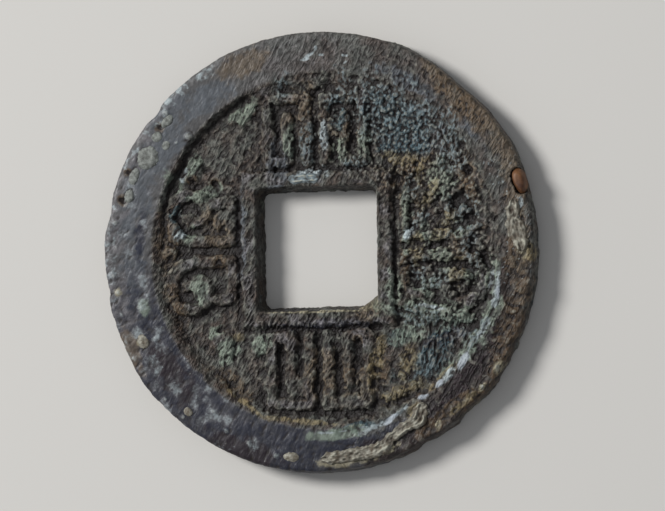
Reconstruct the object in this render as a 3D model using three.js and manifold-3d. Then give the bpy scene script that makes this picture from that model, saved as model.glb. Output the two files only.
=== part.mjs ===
// A cast bronze cash coin with a square hole, lying on its reverse, in millimetres with +Z up.
// The coin is one casting: flan, rims, fields and raised ornament were poured together.
// The blisters, nodules and crusts that grew on its rims in the ground are separate solids, each
// sitting with a flat base on the bronze. The crust in the field has grown together with it. The
// origin is on the surface that the coin lies on, under the middle of its outline.
import * as THREE from "three";
import { mergeVertices } from "three/addons/utils/BufferGeometryUtils.js";
import Module from "manifold-3d";

// Flan and outer rim
const COIN_DIAMETER = 24.5;
const RIM_THICKNESS = 1.5;
const EDGE_ROUNDING = 0.4;

// Fields: the sunken discs inside the rims, cast a little off the middle of the flan
const OBVERSE_RIM_WIDTH = 2.4;
const OBVERSE_FIELD_CENTRE = [0.43, 0.08];
const OBVERSE_FIELD_DEPTH = 0.38;
const REVERSE_RIM_WIDTH = 2.15;
const REVERSE_FIELD_CENTRE = [-0.12, 0.06];
const REVERSE_FIELD_DEPTH = 0.3;
const FIELD_WALL_SLOPE = 0.22;

// The obverse field's floor lies off the middle of its mouth, so that the wall between them is
// steep at upper left and leans back at lower right. This is the wall's mean width.
const OBVERSE_WALL_SLOPE = 0.42;
const OBVERSE_FLOOR_SHIFT = [-0.15, 0.13];

// Square hole, a little turned in the flan and narrower at the reverse, and the rims round it
const HOLE_SIDE = 6.95;
const HOLE_CENTRE = [-0.1, 0.2];
const HOLE_TURN = 1.1;
const HOLE_REVERSE_INSET = 0.3;
const HOLE_CORNER_RADIUS = 0.4;
const HOLE_RIM_WIDTH = 0.82;
const HOLE_RIM_DROP = 0.04;
const HOLE_RIM_DRAFT = 0.12;

// Casting fin left in one corner of the hole
const FIN_LENGTH = 1.15;
const FIN_WIDTH = 0.8;
const FIN_THICKNESS = 0.6;
const FIN_DROP = 0.2;

// Raised ornament on the obverse: strokes laid out with a groove between them
const STROKE_WIDTH = 0.6;
const STROKE_HEIGHT = 0.3;
const STROKE_DRAFT = 0.09;
const GROOVE_WIDTH = 0.48;
const ORNAMENT_GAP = 0.14;
const CURL_RADIUS = 1.6;
const CURL_EYE_CLEARANCE = 0.09;
const PELLET_DIAMETER = 0.8;

// Bank of crust against the obverse field's wall, which hides the wall's foot: how far it reaches
// in from the edge of the rim at each angle from +X about the field's middle
const BANK_HEIGHT = 0.27;
const BANK_REACH = [
  { at: -16, reach: 0.5 },
  { at: 0, reach: 1.0 },
  { at: 18, reach: 1.5 },
  { at: 32, reach: 2.2 },
  { at: 46, reach: 3.3 },
  { at: 60, reach: 2.9 },
  { at: 74, reach: 1.8 },
  { at: 90, reach: 1.1 },
  { at: 104, reach: 0.5 },
];

// Mounds of crust on the obverse field: angle from +X about the field's middle, distance from the
// edge of the rim in to their middle, length, width, lean from +X and height
const FIELD_MOUNDS = [
  { at: 122.4, inset: 0.83, length: 2.2, width: 1.3, lean: 35, height: 0.17 },
  { at: 149.1, inset: 0.85, length: 1.9, width: 1.2, lean: 60, height: 0.2 },
  { at: 173.8, inset: 1.27, length: 1.3, width: 1.2, lean: 60, height: 0.18 },
  { at: 197.5, inset: 2.27, length: 1.7, width: 1.2, lean: 110, height: 0.2 },
  { at: 30.6, inset: 2.34, length: 2.1, width: 1.7, lean: 100, height: 0.25 },
  { at: 45.9, inset: 3.42, length: 1.8, width: 1.3, lean: 5, height: 0.23 },
  { at: 331.3, inset: 2.82, length: 5.6, width: 1.1, lean: -11, height: 0.24 },
  { at: 298.2, inset: 1.02, length: 2.4, width: 1.1, lean: 27, height: 0.2 },
  { at: 235.3, inset: 3.3, length: 1.5, width: 1.1, lean: 40, height: 0.2 },
  { at: 220.1, inset: 1.97, length: 2.0, width: 1.3, lean: 135, height: 0.2 },
  { at: 87.7, inset: 3.02, length: 1.5, width: 1.7, lean: 0, height: 0.22 },
  { at: 278, inset: 1.49, length: 1.9, width: 1.2, lean: 10, height: 0.21 },
  { at: 258, inset: 2.0, length: 1.2, width: 1.6, lean: 0, height: 0.2 },
  { at: 2.5, inset: 2.37, length: 1.7, width: 1.5, lean: 0, height: 0.2 },
  { at: 12.2, inset: 4.56, length: 1.1, width: 1.6, lean: 0, height: 0.2 },
  { at: 163.2, inset: 3.55, length: 1.3, width: 1.0, lean: 60, height: 0.2 },
  { at: 116.3, inset: 3.02, length: 1.2, width: 1.5, lean: 0, height: 0.17 },
  { at: 295.1, inset: 3.8, length: 1.2, width: 1.9, lean: -10, height: 0.19 },
];

// Section of the bank and the mounds: share of their reach at each share of their height
const MOUND_SECTION = [
  { reach: 1, height: 0 },
  { reach: 0.76, height: 0.7 },
  { reach: 0.42, height: 1 },
];

// How deep a raised feature's foot is buried, and how far a cutter runs past what it cuts
const FOOT_DEPTH = 0.1;
const OVERRUN = 0.3;

// Uneven outline: where it is (degrees from +X), how far it spreads either side, and how deep it
// is worn in, which is less than nothing where the cast edge stands proud
const EDGE_WEAR = [
  { at: 28, spread: 9, depth: -0.1 },
  { at: 50, spread: 12, depth: 0.16 },
  { at: 68, spread: 6, depth: -0.08 },
  { at: 140, spread: 4, depth: 0.15 },
  { at: 169, spread: 6, depth: 0.11 },
  { at: 189, spread: 6, depth: 0.1 },
  { at: 217, spread: 15, depth: -0.09 },
  { at: 299, spread: 4, depth: 0.12 },
  { at: 313, spread: 4, depth: 0.12 },
  { at: 322, spread: 6, depth: -0.12 },
];

// Domes on the obverse rim: angle from +X, distance from the outer edge of the rim's flat in to
// their middle, length along the rim, width across it and height
const GREY_BLISTERS = [
  { name: "blister_large", at: 151.2, inset: 0.77, length: 1.25, width: 1.1, height: 0.13 },
  { name: "blister_upper_inner", at: 144.8, inset: 0.58, length: 0.55, width: 0.5, height: 0.1 },
  { name: "blister_upper_small", at: 145.2, inset: 1.28, length: 0.42, width: 0.4, height: 0.09 },
  { name: "blister_upper_long", at: 139.4, inset: 0.5, length: 0.85, width: 0.45, height: 0.1 },
  { name: "blister_left_long", at: 157.6, inset: 0.5, length: 1.0, width: 0.55, height: 0.11 },
  { name: "blister_left", at: 163.4, inset: 0.6, length: 0.8, width: 0.55, height: 0.12 },
];
const PALE_NODULES = [
  { name: "nodule_lower_left", at: 206.0, inset: 0.72, length: 0.75, width: 0.55, height: 0.1 },
  { name: "nodule_lower_edge", at: 230.0, inset: 0.32, length: 0.5, width: 0.42, height: 0.1 },
  { name: "nodule_bottom", at: 262.4, inset: 0.38, length: 0.8, width: 0.48, height: 0.12 },
];

// The rust nodule sits over the edge, on a ledge below the rim, with a crack between it and the
// bronze round it
const RUST_NODULES = [
  { name: "nodule_right", at: 18.4, inset: -0.12, length: 1.35, width: 0.6, height: 0.5, drop: 0.4 },
];
const LEDGE_CLEARANCE = 0.08;

// Crusts on the obverse rim: each follows a line of angle and distance in from the outer edge of
// the rim's flat
const RIM_CRUSTS = [
  {
    name: "crust_right",
    width: 0.55,
    height: 0.18,
    line: [
      { at: 14.4, inset: 0.45 },
      { at: 11.5, inset: 0.5 },
      { at: 8.5, inset: 0.7 },
      { at: 5.5, inset: 0.5 },
      { at: 2.0, inset: 0.33 },
      { at: -0.8, inset: 0.32 },
    ],
  },
  {
    name: "crust_lower_right",
    width: 0.42,
    height: 0.2,
    line: [
      { at: 306.0, inset: 1.5 },
      { at: 303.7, inset: 1.3 },
      { at: 300.9, inset: 0.85 },
      { at: 297.5, inset: 0.85 },
      { at: 292.0, inset: 0.75 },
      { at: 288.4, inset: 0.36 },
      { at: 284.0, inset: 0.34 },
      { at: 277.8, inset: 0.4 },
      { at: 270.6, inset: 0.34 },
    ],
  },
];

// Crust along the top of the hole's upper rim, with its middle to the left of the hole's
const HOLE_CRUSTS = [
  { name: "crust_hole_rim", offset: -0.65, length: 1.9, width: 0.5, height: 0.12 },
];

// Section of a crust's ridge: share of its width at each share of its height
const RIDGE_SECTION = [
  { width: 1, height: 0 },
  { width: 0.8, height: 0.6 },
  { width: 0.35, height: 1 },
];

// Facets
const RIM_SEGMENTS = 120;
const FIELD_SEGMENTS = 96;
const ROUNDING_STEPS = 4;
const CURL_STEPS = 22;
const PELLET_SEGMENTS = 12;
const DOME_SEGMENTS = 16;
const RIDGE_STEPS = 24;
const BANK_STEPS = 24;
const MOUND_SEGMENTS = 14;

const FULL_TURN = 2 * Math.PI;
const holeTurn = THREE.MathUtils.degToRad(HOLE_TURN);
const holeMiddle = new THREE.Vector2(...HOLE_CENTRE);
const fieldMiddle = new THREE.Vector2(...OBVERSE_FIELD_CENTRE);
const coinRadius = COIN_DIAMETER / 2;
const fieldRadius = coinRadius - OBVERSE_RIM_WIDTH;
const fieldFloor = RIM_THICKNESS - OBVERSE_FIELD_DEPTH;
const holeRimTop = RIM_THICKNESS - HOLE_RIM_DROP;
const holeRimSide = HOLE_SIDE + 2 * HOLE_RIM_WIDTH;
const strokePitch = STROKE_WIDTH + GROOVE_WIDTH;

const wasm = await Module();
wasm.setup();

// A closed geometry as a solid that can be joined and cut
function solidOf(geometry) {
  const bare = geometry.clone();
  bare.deleteAttribute("normal");
  bare.deleteAttribute("uv");
  const merged = mergeVertices(bare, 1e-5);
  return new wasm.Manifold(
    new wasm.Mesh({
      numProp: 3,
      vertProperties: new Float32Array(merged.attributes.position.array),
      triVerts: new Uint32Array(merged.index.array),
    }),
  );
}

function geometryOf(solid) {
  const mesh = solid.getMesh();
  const geometry = new THREE.BufferGeometry();
  geometry.setAttribute("position", new THREE.BufferAttribute(mesh.vertProperties, 3));
  geometry.setIndex(new THREE.BufferAttribute(mesh.triVerts, 1));
  geometry.computeVertexNormals();
  return geometry;
}

// A profile of [radius, height] points that starts and ends on the axis, turned about +Z
function turned(profile, segments) {
  const points = profile.map(([radius, height]) => new THREE.Vector2(radius, height));
  return new THREE.LatheGeometry(points, segments).rotateX(Math.PI / 2);
}

// A solid through a stack of outlines, lowest first, that all have as many points. Each outline
// is a list of Vector2, anticlockwise seen from above.
function lofted(layers) {
  const count = layers[0].outline.length;
  const positions = layers.flatMap(({ outline, z }) => outline.flatMap(({ x, y }) => [x, y, z]));
  const top = (layers.length - 1) * count;
  const faces = [];
  for (let level = 0; level < top; level += count) {
    for (let i = 0; i < count; i += 1) {
      const here = level + i;
      const next = level + ((i + 1) % count);
      faces.push(here, next, next + count, here, next + count, here + count);
    }
  }
  for (const [a, b, c] of THREE.ShapeUtils.triangulateShape(layers[0].outline, [])) {
    faces.push(a, c, b);
  }
  for (const [a, b, c] of THREE.ShapeUtils.triangulateShape(layers.at(-1).outline, [])) {
    faces.push(top + a, top + b, top + c);
  }
  const geometry = new THREE.BufferGeometry();
  geometry.setAttribute("position", new THREE.Float32BufferAttribute(positions, 3));
  geometry.setIndex(faces);
  return geometry;
}

// The outline of a stroke along a path, with mitred corners and square ends half a width past it
function strokeOutline(path, width) {
  const last = path.length - 1;
  const along = path.slice(1).map((point, i) => point.clone().sub(path[i]).normalize());
  const left = [];
  const right = [];
  path.forEach((point, i) => {
    const into = along[Math.max(i - 1, 0)];
    const outOf = along[Math.min(i, last - 1)];
    const mitre = new THREE.Vector2(-into.y - outOf.y, into.x + outOf.x);
    mitre.multiplyScalar(width / 2 / (1 + into.dot(outOf)));
    const end = (i === last) - (i === 0);
    const middle = point.clone().addScaledVector(into, (end * width) / 2);
    left.unshift(middle.clone().add(mitre));
    right.push(middle.clone().sub(mitre));
  });
  return [...right, ...left];
}

// A point given from the hole's middle along the directions of its sides
function inHole(x, y) {
  return new THREE.Vector2(x, y).rotateAround(new THREE.Vector2(), holeTurn).add(holeMiddle);
}

// A square about the hole's middle, with rounded corners
function holeOutline(side, cornerRadius) {
  const straight = side / 2 - cornerRadius;
  const corners = [
    [1, 1],
    [-1, 1],
    [-1, -1],
    [1, -1],
  ];
  return corners.flatMap(([toX, toY], corner) =>
    Array.from({ length: ROUNDING_STEPS + 1 }, (_, step) => {
      const angle = ((corner + step / ROUNDING_STEPS) * Math.PI) / 2;
      return inHole(
        toX * straight + cornerRadius * Math.cos(angle),
        toY * straight + cornerRadius * Math.sin(angle),
      );
    }),
  );
}

// How far the outline is worn in at an angle: each patch fades out as a cosine
function wearAt(degrees) {
  return EDGE_WEAR.reduce((worn, { at, spread, depth }) => {
    const away = Math.abs(((degrees - at + 540) % 360) - 180);
    return away < spread ? worn + (depth * (1 + Math.cos((Math.PI * away) / spread))) / 2 : worn;
  }, 0);
}

// The blank before its fields are sunk: a disc with rounded edges and an uneven outline
function flan() {
  const quarter = (height, from) =>
    Array.from({ length: ROUNDING_STEPS + 1 }, (_, step) => {
      const angle = from + ((step / ROUNDING_STEPS) * Math.PI) / 2;
      return [
        coinRadius - EDGE_ROUNDING * (1 - Math.cos(angle)),
        height + EDGE_ROUNDING * Math.sin(angle),
      ];
    });
  const profile = [
    [0, 0],
    ...quarter(EDGE_ROUNDING, -Math.PI / 2),
    ...quarter(RIM_THICKNESS - EDGE_ROUNDING, 0),
    [0, RIM_THICKNESS],
  ];
  const disc = turned(profile, RIM_SEGMENTS);
  const points = disc.attributes.position;
  for (let i = 0; i < points.count; i += 1) {
    const angle = THREE.MathUtils.radToDeg(Math.atan2(points.getY(i), points.getX(i)));
    const share = 1 - wearAt(angle) / coinRadius;
    points.setXY(i, points.getX(i) * share, points.getY(i) * share);
  }
  return solidOf(disc);
}

// What sinks the obverse field: a stack of circles from its floor out past the rim's top
function obverseField() {
  const floorMiddle = fieldMiddle.clone().add(new THREE.Vector2(...OBVERSE_FLOOR_SHIFT));
  const circleAt = (share) => {
    const { x, y } = floorMiddle.clone().lerp(fieldMiddle, share);
    const radius = fieldRadius - OBVERSE_WALL_SLOPE * (1 - share);
    const outline = new THREE.EllipseCurve(x, y, radius, radius).getPoints(FIELD_SEGMENTS);
    return { outline: outline.slice(1), z: fieldFloor + OBVERSE_FIELD_DEPTH * share };
  };
  return solidOf(lofted([circleAt(0), circleAt(1 + OVERRUN / OBVERSE_FIELD_DEPTH)]));
}

// What sinks the reverse field: its wall slopes outwards down to the rim
function reverseField() {
  const [x, y] = REVERSE_FIELD_CENTRE;
  const radius = coinRadius - REVERSE_RIM_WIDTH;
  const slope = FIELD_WALL_SLOPE / REVERSE_FIELD_DEPTH;
  const profile = [
    [0, -OVERRUN],
    [radius + slope * OVERRUN, -OVERRUN],
    [radius - FIELD_WALL_SLOPE, REVERSE_FIELD_DEPTH],
    [0, REVERSE_FIELD_DEPTH],
  ];
  return solidOf(turned(profile, FIELD_SEGMENTS).translate(x, y, 0));
}

// The rims of the hole on both faces, before the hole is cut through them
function holeRims() {
  const cornerRadius = HOLE_CORNER_RADIUS + HOLE_RIM_WIDTH / 2;
  const crest = holeOutline(holeRimSide, cornerRadius);
  const foot = holeOutline(holeRimSide + 2 * HOLE_RIM_DRAFT, cornerRadius + HOLE_RIM_DRAFT);
  const obverse = lofted([
    { outline: foot, z: fieldFloor - FOOT_DEPTH },
    { outline: foot, z: fieldFloor },
    { outline: crest, z: holeRimTop },
  ]);
  const reverse = lofted([
    { outline: crest, z: HOLE_RIM_DROP },
    { outline: foot, z: REVERSE_FIELD_DEPTH },
    { outline: foot, z: REVERSE_FIELD_DEPTH + FOOT_DEPTH },
  ]);
  return solidOf(obverse).add(solidOf(reverse));
}

// The tapered square that is cut right through
function hole() {
  const outlineAt = (z) => {
    const side = HOLE_SIDE - 2 * HOLE_REVERSE_INSET * (1 - z / RIM_THICKNESS);
    return { outline: holeOutline(side, HOLE_CORNER_RADIUS), z };
  };
  return solidOf(lofted([outlineAt(-OVERRUN), outlineAt(RIM_THICKNESS + OVERRUN)]));
}

// A three-cornered fin of metal across the hole's lower right corner, buried in both walls
function fin() {
  const right = HOLE_SIDE / 2;
  const bottom = -HOLE_SIDE / 2;
  const buried = HOLE_RIM_WIDTH / 2;
  const outline = [
    [right - FIN_LENGTH, bottom - buried],
    [right + buried, bottom - buried],
    [right + buried, bottom + FIN_WIDTH],
    [right, bottom + FIN_WIDTH],
    [right - FIN_LENGTH, bottom],
  ].map(([x, y]) => inHole(x, y));
  const top = RIM_THICKNESS - FIN_DROP;
  return solidOf(
    lofted([
      { outline, z: top - FIN_THICKNESS },
      { outline, z: top },
    ]),
  );
}

// A raised feature on the obverse field, with drafted sides, from an outline made at two widths
function raised(outlineAtWidth, width) {
  const foot = outlineAtWidth(width + STROKE_DRAFT);
  const crest = outlineAtWidth(width - STROKE_DRAFT);
  return solidOf(
    lofted([
      { outline: foot, z: fieldFloor - FOOT_DEPTH },
      { outline: foot, z: fieldFloor },
      { outline: crest, z: fieldFloor + STROKE_HEIGHT },
    ]),
  );
}

// The field between the hole's rim and the outer rim on one side of the hole. u runs across it
// from its middle and v outwards from where the ornament starts.
function place(outwards) {
  const angle = outwards + holeTurn;
  const ahead = new THREE.Vector2(Math.cos(angle), Math.sin(angle));
  const across = new THREE.Vector2(ahead.y, -ahead.x);
  const start = holeRimSide / 2 + HOLE_RIM_DRAFT + ORNAMENT_GAP;
  const at = (u, v) =>
    holeMiddle
      .clone()
      .addScaledVector(ahead, start + v)
      .addScaledVector(across, u);
  const wallFoot = fieldRadius - FIELD_WALL_SLOPE;
  const depthAt = (u) => {
    const fromMiddle = at(u, 0).sub(fieldMiddle);
    const forward = fromMiddle.dot(ahead);
    return Math.sqrt(forward ** 2 + wallFoot ** 2 - fromMiddle.lengthSq()) - forward;
  };
  const freeDepth = (u) => Math.min(depthAt(u), depthAt(-u)) - ORNAMENT_GAP;
  return { at, freeDepth };
}

// A pair of square thunder scrolls, back to back, as paths of [u, v] points
function thunderScroll(freeDepth) {
  const [inner, middle, outer] = [0.5, 1.5, 2.5].map((columns) => columns * strokePitch);
  const low = STROKE_WIDTH / 2;
  const high = freeDepth(outer + STROKE_WIDTH / 2) - STROKE_WIDTH / 2;
  return {
    pellet: null,
    path: [
      [inner, low],
      [inner, high],
      [outer, high],
      [outer, low],
      [middle, low],
      [middle, high - strokePitch],
    ],
  };
}

// A pair of cloud curls that rise from a hooked foot, with a pellet between them
function cloudCurl(freeDepth) {
  const [inner, outer] = [0.5, 2.5].map((columns) => columns * strokePitch);
  const low = STROKE_WIDTH / 2;
  const eyeRadius = STROKE_WIDTH / 2 + CURL_EYE_CLEARANCE;
  const allTurns = (CURL_RADIUS - eyeRadius) / strokePitch;
  const radiusAt = (turns) => CURL_RADIUS - strokePitch * turns;
  const middleU = inner + CURL_RADIUS;
  const high = freeDepth(middleU) - STROKE_WIDTH / 2;
  const quarterTurn = 0.25;
  const middleV = high - radiusAt(quarterTurn);
  const curl = Array.from({ length: CURL_STEPS + 1 }, (_, step) => {
    const turns = (allTurns * step) / CURL_STEPS;
    const angle = Math.PI - FULL_TURN * turns;
    return [middleU + radiusAt(turns) * Math.cos(angle), middleV + radiusAt(turns) * Math.sin(angle)];
  });
  return {
    pellet: [0, high],
    path: [[outer, low + strokePitch], [outer, low], [inner, low], ...curl],
  };
}

// The ornament of one place: its path on both sides of the middle, and its pellet
function ornament(outwards, design) {
  const { at, freeDepth } = place(outwards);
  const { path, pellet } = design(freeDepth);
  const strokes = [-1, 1].map((side) => {
    const points = path.map(([u, v]) => at(side * u, v));
    return raised((width) => strokeOutline(points, width), STROKE_WIDTH);
  });
  if (pellet) {
    const { x, y } = at(...pellet);
    const circle = (width) =>
      new THREE.EllipseCurve(x, y, width / 2, width / 2).getPoints(PELLET_SEGMENTS).slice(1);
    strokes.push(raised(circle, PELLET_DIAMETER));
  }
  return strokes;
}

// A point given from the obverse field's middle, by its angle and its distance in from the rim
function inField(degrees, inset) {
  const angle = THREE.MathUtils.degToRad(degrees);
  return new THREE.Vector2(Math.cos(angle), Math.sin(angle))
    .multiplyScalar(fieldRadius - inset)
    .add(fieldMiddle);
}

// Crust on the obverse field, from an outline made at each share of its reach
function fieldCrust(outlineAtReach, height) {
  const layers = MOUND_SECTION.map((share) => ({
    outline: outlineAtReach(share.reach),
    z: fieldFloor + height * share.height,
  }));
  layers.unshift({ outline: outlineAtReach(1), z: fieldFloor - FOOT_DEPTH });
  return solidOf(lofted(layers));
}

// The bank of crust, buried in the rim on its outer side and running out at both ends
function crustBank() {
  const ends = [BANK_REACH[0].at, BANK_REACH.at(-1).at];
  const reachAt = (degrees) => {
    const after = Math.max(1, BANK_REACH.findIndex(({ at }) => at >= degrees));
    const [low, high] = BANK_REACH.slice(after - 1, after + 1);
    const share = THREE.MathUtils.clamp((degrees - low.at) / (high.at - low.at), 0, 1);
    return THREE.MathUtils.lerp(low.reach, high.reach, share);
  };
  return fieldCrust((share) => {
    const drawnIn = ((1 - share) * (ends[1] - ends[0])) / (2 * BANK_STEPS);
    const angles = Array.from({ length: BANK_STEPS + 1 }, (_, step) =>
      THREE.MathUtils.lerp(ends[0] + drawnIn, ends[1] - drawnIn, step / BANK_STEPS),
    );
    const outer = angles.map((at) => inField(at, -FOOT_DEPTH));
    const inner = angles.map((at) => inField(at, reachAt(at) * share)).reverse();
    return [...outer, ...inner];
  }, BANK_HEIGHT);
}

function fieldMound({ at, inset, length, width, lean, height }) {
  const { x, y } = inField(at, inset);
  const angle = THREE.MathUtils.degToRad(lean);
  return fieldCrust((share) => {
    const ellipse = [(length * share) / 2, (width * share) / 2, 0, FULL_TURN, false, angle];
    return new THREE.EllipseCurve(x, y, ...ellipse).getPoints(MOUND_SEGMENTS).slice(1);
  }, height);
}

// What cuts the ledge for a nodule that sits over the edge: half its oval, and open outwards
function ledge({ at, inset, length, width, drop }) {
  const across = width / 2 + LEDGE_CLEARANCE;
  const along = length / 2 + LEDGE_CLEARANCE;
  const turn = THREE.MathUtils.degToRad(at);
  const oval = new THREE.EllipseCurve(0, 0, across, along, Math.PI / 2, 1.5 * Math.PI);
  const outline = [
    ...oval.getPoints(DOME_SEGMENTS / 2),
    new THREE.Vector2(across + OVERRUN, -along),
    new THREE.Vector2(across + OVERRUN, along),
  ].map((point) => point.rotateAround(new THREE.Vector2(), turn).add(onRim(at, inset)));
  return solidOf(
    lofted([
      { outline, z: RIM_THICKNESS - drop },
      { outline, z: RIM_THICKNESS + OVERRUN },
    ]),
  );
}

// The whole casting: a blank with fields sunk in, then what stands up in them, then the hole and
// the ledges in the edge
function coinCasting() {
  const raisedParts = [
    ...ornament(0.5 * Math.PI, thunderScroll),
    ...ornament(1.5 * Math.PI, thunderScroll),
    ...ornament(0, cloudCurl),
    ...ornament(Math.PI, cloudCurl),
    crustBank(),
    ...FIELD_MOUNDS.map(fieldMound),
    holeRims(),
  ];
  const blank = flan().subtract(obverseField()).subtract(reverseField());
  const decorated = raisedParts.reduce((whole, part) => whole.add(part), blank);
  const cut = RUST_NODULES.reduce((whole, sizes) => whole.subtract(ledge(sizes)), decorated);
  return geometryOf(cut.subtract(hole()).add(fin()));
}

// A point on the rim, from its angle and its distance in from the outer edge of the rim's flat
function onRim(degrees, inset) {
  const angle = THREE.MathUtils.degToRad(degrees);
  const radius = coinRadius - EDGE_ROUNDING - inset;
  return new THREE.Vector2(radius * Math.cos(angle), radius * Math.sin(angle));
}

// A dome with a flat base, lying along the rim, or on a ledge some way down from it
function rimDome({ at, inset, length, width, height, drop = 0 }) {
  const profile = Array.from({ length: ROUNDING_STEPS + 1 }, (_, step) => {
    const angle = ((step / ROUNDING_STEPS) * Math.PI) / 2;
    return [Math.cos(angle), Math.sin(angle)];
  });
  profile[ROUNDING_STEPS][0] = 0;
  const { x, y } = onRim(at, inset);
  return turned([[0, 0], ...profile], DOME_SEGMENTS)
    .scale(width / 2, length / 2, height)
    .rotateZ(THREE.MathUtils.degToRad(at))
    .translate(x, y, RIM_THICKNESS - drop);
}

// A low ridge with a flat base along a path
function ridge(path, width, height, base) {
  return lofted(
    RIDGE_SECTION.map((share) => ({
      outline: strokeOutline(path, width * share.width),
      z: base + height * share.height,
    })),
  );
}

function rimCrust({ line, width, height }) {
  const bends = line.map(({ at, inset }) => onRim(at, inset)).reverse();
  const path = new THREE.SplineCurve(bends).getPoints(RIDGE_STEPS);
  return ridge(path, width, height, RIM_THICKNESS);
}

// The ridge's square ends add its width to its path
function holeCrust({ offset, length, width, height }) {
  const y = (HOLE_SIDE + HOLE_RIM_WIDTH) / 2;
  const reach = (length - width) / 2;
  const path = [inHole(offset - reach, y), inHole(offset + reach, y)];
  return ridge(path, width, height, holeRimTop);
}

const bronze = new THREE.MeshStandardMaterial({ color: 0x4d4b49, roughness: 0.55, metalness: 0.6 });
const blisterGrey = new THREE.MeshStandardMaterial({ color: 0x727470, roughness: 0.7, metalness: 0.1 });
const paleCrust = new THREE.MeshStandardMaterial({ color: 0x8f8c82, roughness: 0.9, metalness: 0 });
const rustNodule = new THREE.MeshStandardMaterial({ color: 0x5f3d28, roughness: 0.7, metalness: 0 });

const coin = new THREE.Group();

// Adds one named mesh to the coin for each size list
function addPieces(sizeLists, makeGeometry, material) {
  for (const sizes of sizeLists) {
    const piece = new THREE.Mesh(makeGeometry(sizes), material);
    piece.name = sizes.name;
    coin.add(piece);
  }
}

addPieces([{ name: "coin_casting" }], coinCasting, bronze);
addPieces(GREY_BLISTERS, rimDome, blisterGrey);
addPieces(PALE_NODULES, rimDome, paleCrust);
addPieces(RUST_NODULES, rimDome, rustNodule);
addPieces(RIM_CRUSTS, rimCrust, paleCrust);
addPieces(HOLE_CRUSTS, holeCrust, paleCrust);

export default coin;
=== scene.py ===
import itertools
import math

import bmesh
import bpy
import numpy as np
from mathutils import Matrix, Vector


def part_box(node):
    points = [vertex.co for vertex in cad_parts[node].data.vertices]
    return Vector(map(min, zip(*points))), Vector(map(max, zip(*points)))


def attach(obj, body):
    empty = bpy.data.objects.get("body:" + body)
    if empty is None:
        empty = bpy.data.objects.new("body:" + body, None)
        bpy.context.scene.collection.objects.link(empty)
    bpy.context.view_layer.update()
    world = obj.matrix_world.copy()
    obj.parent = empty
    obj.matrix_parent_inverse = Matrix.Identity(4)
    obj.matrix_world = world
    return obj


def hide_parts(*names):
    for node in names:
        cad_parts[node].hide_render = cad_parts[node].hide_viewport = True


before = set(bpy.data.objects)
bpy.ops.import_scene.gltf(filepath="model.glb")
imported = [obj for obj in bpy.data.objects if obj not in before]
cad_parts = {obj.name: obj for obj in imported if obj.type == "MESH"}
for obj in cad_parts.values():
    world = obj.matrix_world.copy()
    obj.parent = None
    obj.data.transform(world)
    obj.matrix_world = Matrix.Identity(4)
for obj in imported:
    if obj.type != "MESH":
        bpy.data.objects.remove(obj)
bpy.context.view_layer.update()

# Coin casting: one piece of leaded bronze, poured in a mould with its rims, sunken fields, square
# hole and ornament, then filed round. Its surface was eaten away in the ground, so every edge is
# soft and ragged, and the field is grainy where the left rim, rubbed by hands, stays smooth.

# Lengths of the pieces are in mm
MM = 0.001
lowest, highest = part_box("coin_casting")
coin_radius = (highest[0] - lowest[0]) / 2 / MM
rim_top = highest[2] / MM
EDGE_ROUNDING = 0.4
# The edge is fuller than a quarter circle: this is the power of its sine and cosine
EDGE_POWER = 0.62
RIM_WIDTH = 2.4
FIELD_CENTRE = (0.43, 0.08)
FIELD_RADIUS = coin_radius - RIM_WIDTH
FIELD_DEPTH = 0.38
REVERSE_CENTRE = (-0.12, 0.06)
REVERSE_RIM_WIDTH = 2.15
REVERSE_RADIUS = coin_radius - REVERSE_RIM_WIDTH
REVERSE_DEPTH = 0.3
WALL_SLOPE = 0.22
WALL_WIDTH = 0.42
FLOOR_SHIFT = (-0.15, 0.13)
HOLE_MIDDLE = (-0.1, 0.2)
HOLE_TURN = math.radians(1.1)
HOLE_HALF = 3.475
HOLE_REVERSE_INSET = 0.3
HOLE_CORNER = 0.4
HOLE_EDGE_WEAR = 0.12
HOLE_RIM_WIDTH = 0.82
HOLE_RIM_DROP = 0.04
HOLE_RIM_DRAFT = 0.12
FIN_LENGTH = 1.15
FIN_WIDTH = 0.8
FIN_SPAN = (0.7, 1.3)


def smooth(low, high, value):
    """From 0 at the first value to 1 at the second, with soft ends."""
    share = np.clip((value - low) / (high - low), 0, 1)
    return share * share * (3 - 2 * share)


# Sizes of the random tables, and the factors that pick a row of them for a cell
RANDOM_ROWS = 4096
CELL_FACTORS = (73856093, 19349663, 83492791)


def random_row(cells):
    """The row of a random table that belongs to each cell."""
    key = cells * CELL_FACTORS
    return (key[:, 0] ^ key[:, 1] ^ key[:, 2]) & (RANDOM_ROWS - 1)


def grain(places, cell, seed):
    """Smooth random swells from about -1 to 1, each about a cell wide, in mm."""
    rng = np.random.default_rng(seed)
    slopes = rng.normal(size=(RANDOM_ROWS, 3))
    slopes /= np.linalg.norm(slopes, axis=1, keepdims=True)
    scaled = places / cell
    corner = np.floor(scaled).astype(np.int64)
    inside = scaled - corner
    fade = inside**3 * (inside * (inside * 6 - 15) + 10)
    total = np.zeros(len(places))
    for step in itertools.product((0, 1), repeat=3):
        slope = slopes[random_row(corner + step)]
        lean = ((inside - step) * slope).sum(axis=1)
        share = np.where(step, fade, 1 - fade).prod(axis=1)
        total += share * lean
    return total * 1.6


def waves(places, *layers):
    """Sum of random swells: each layer has its height, its width in mm and its seed."""
    return sum(height * grain(places, width, seed) for height, width, seed in layers)


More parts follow.
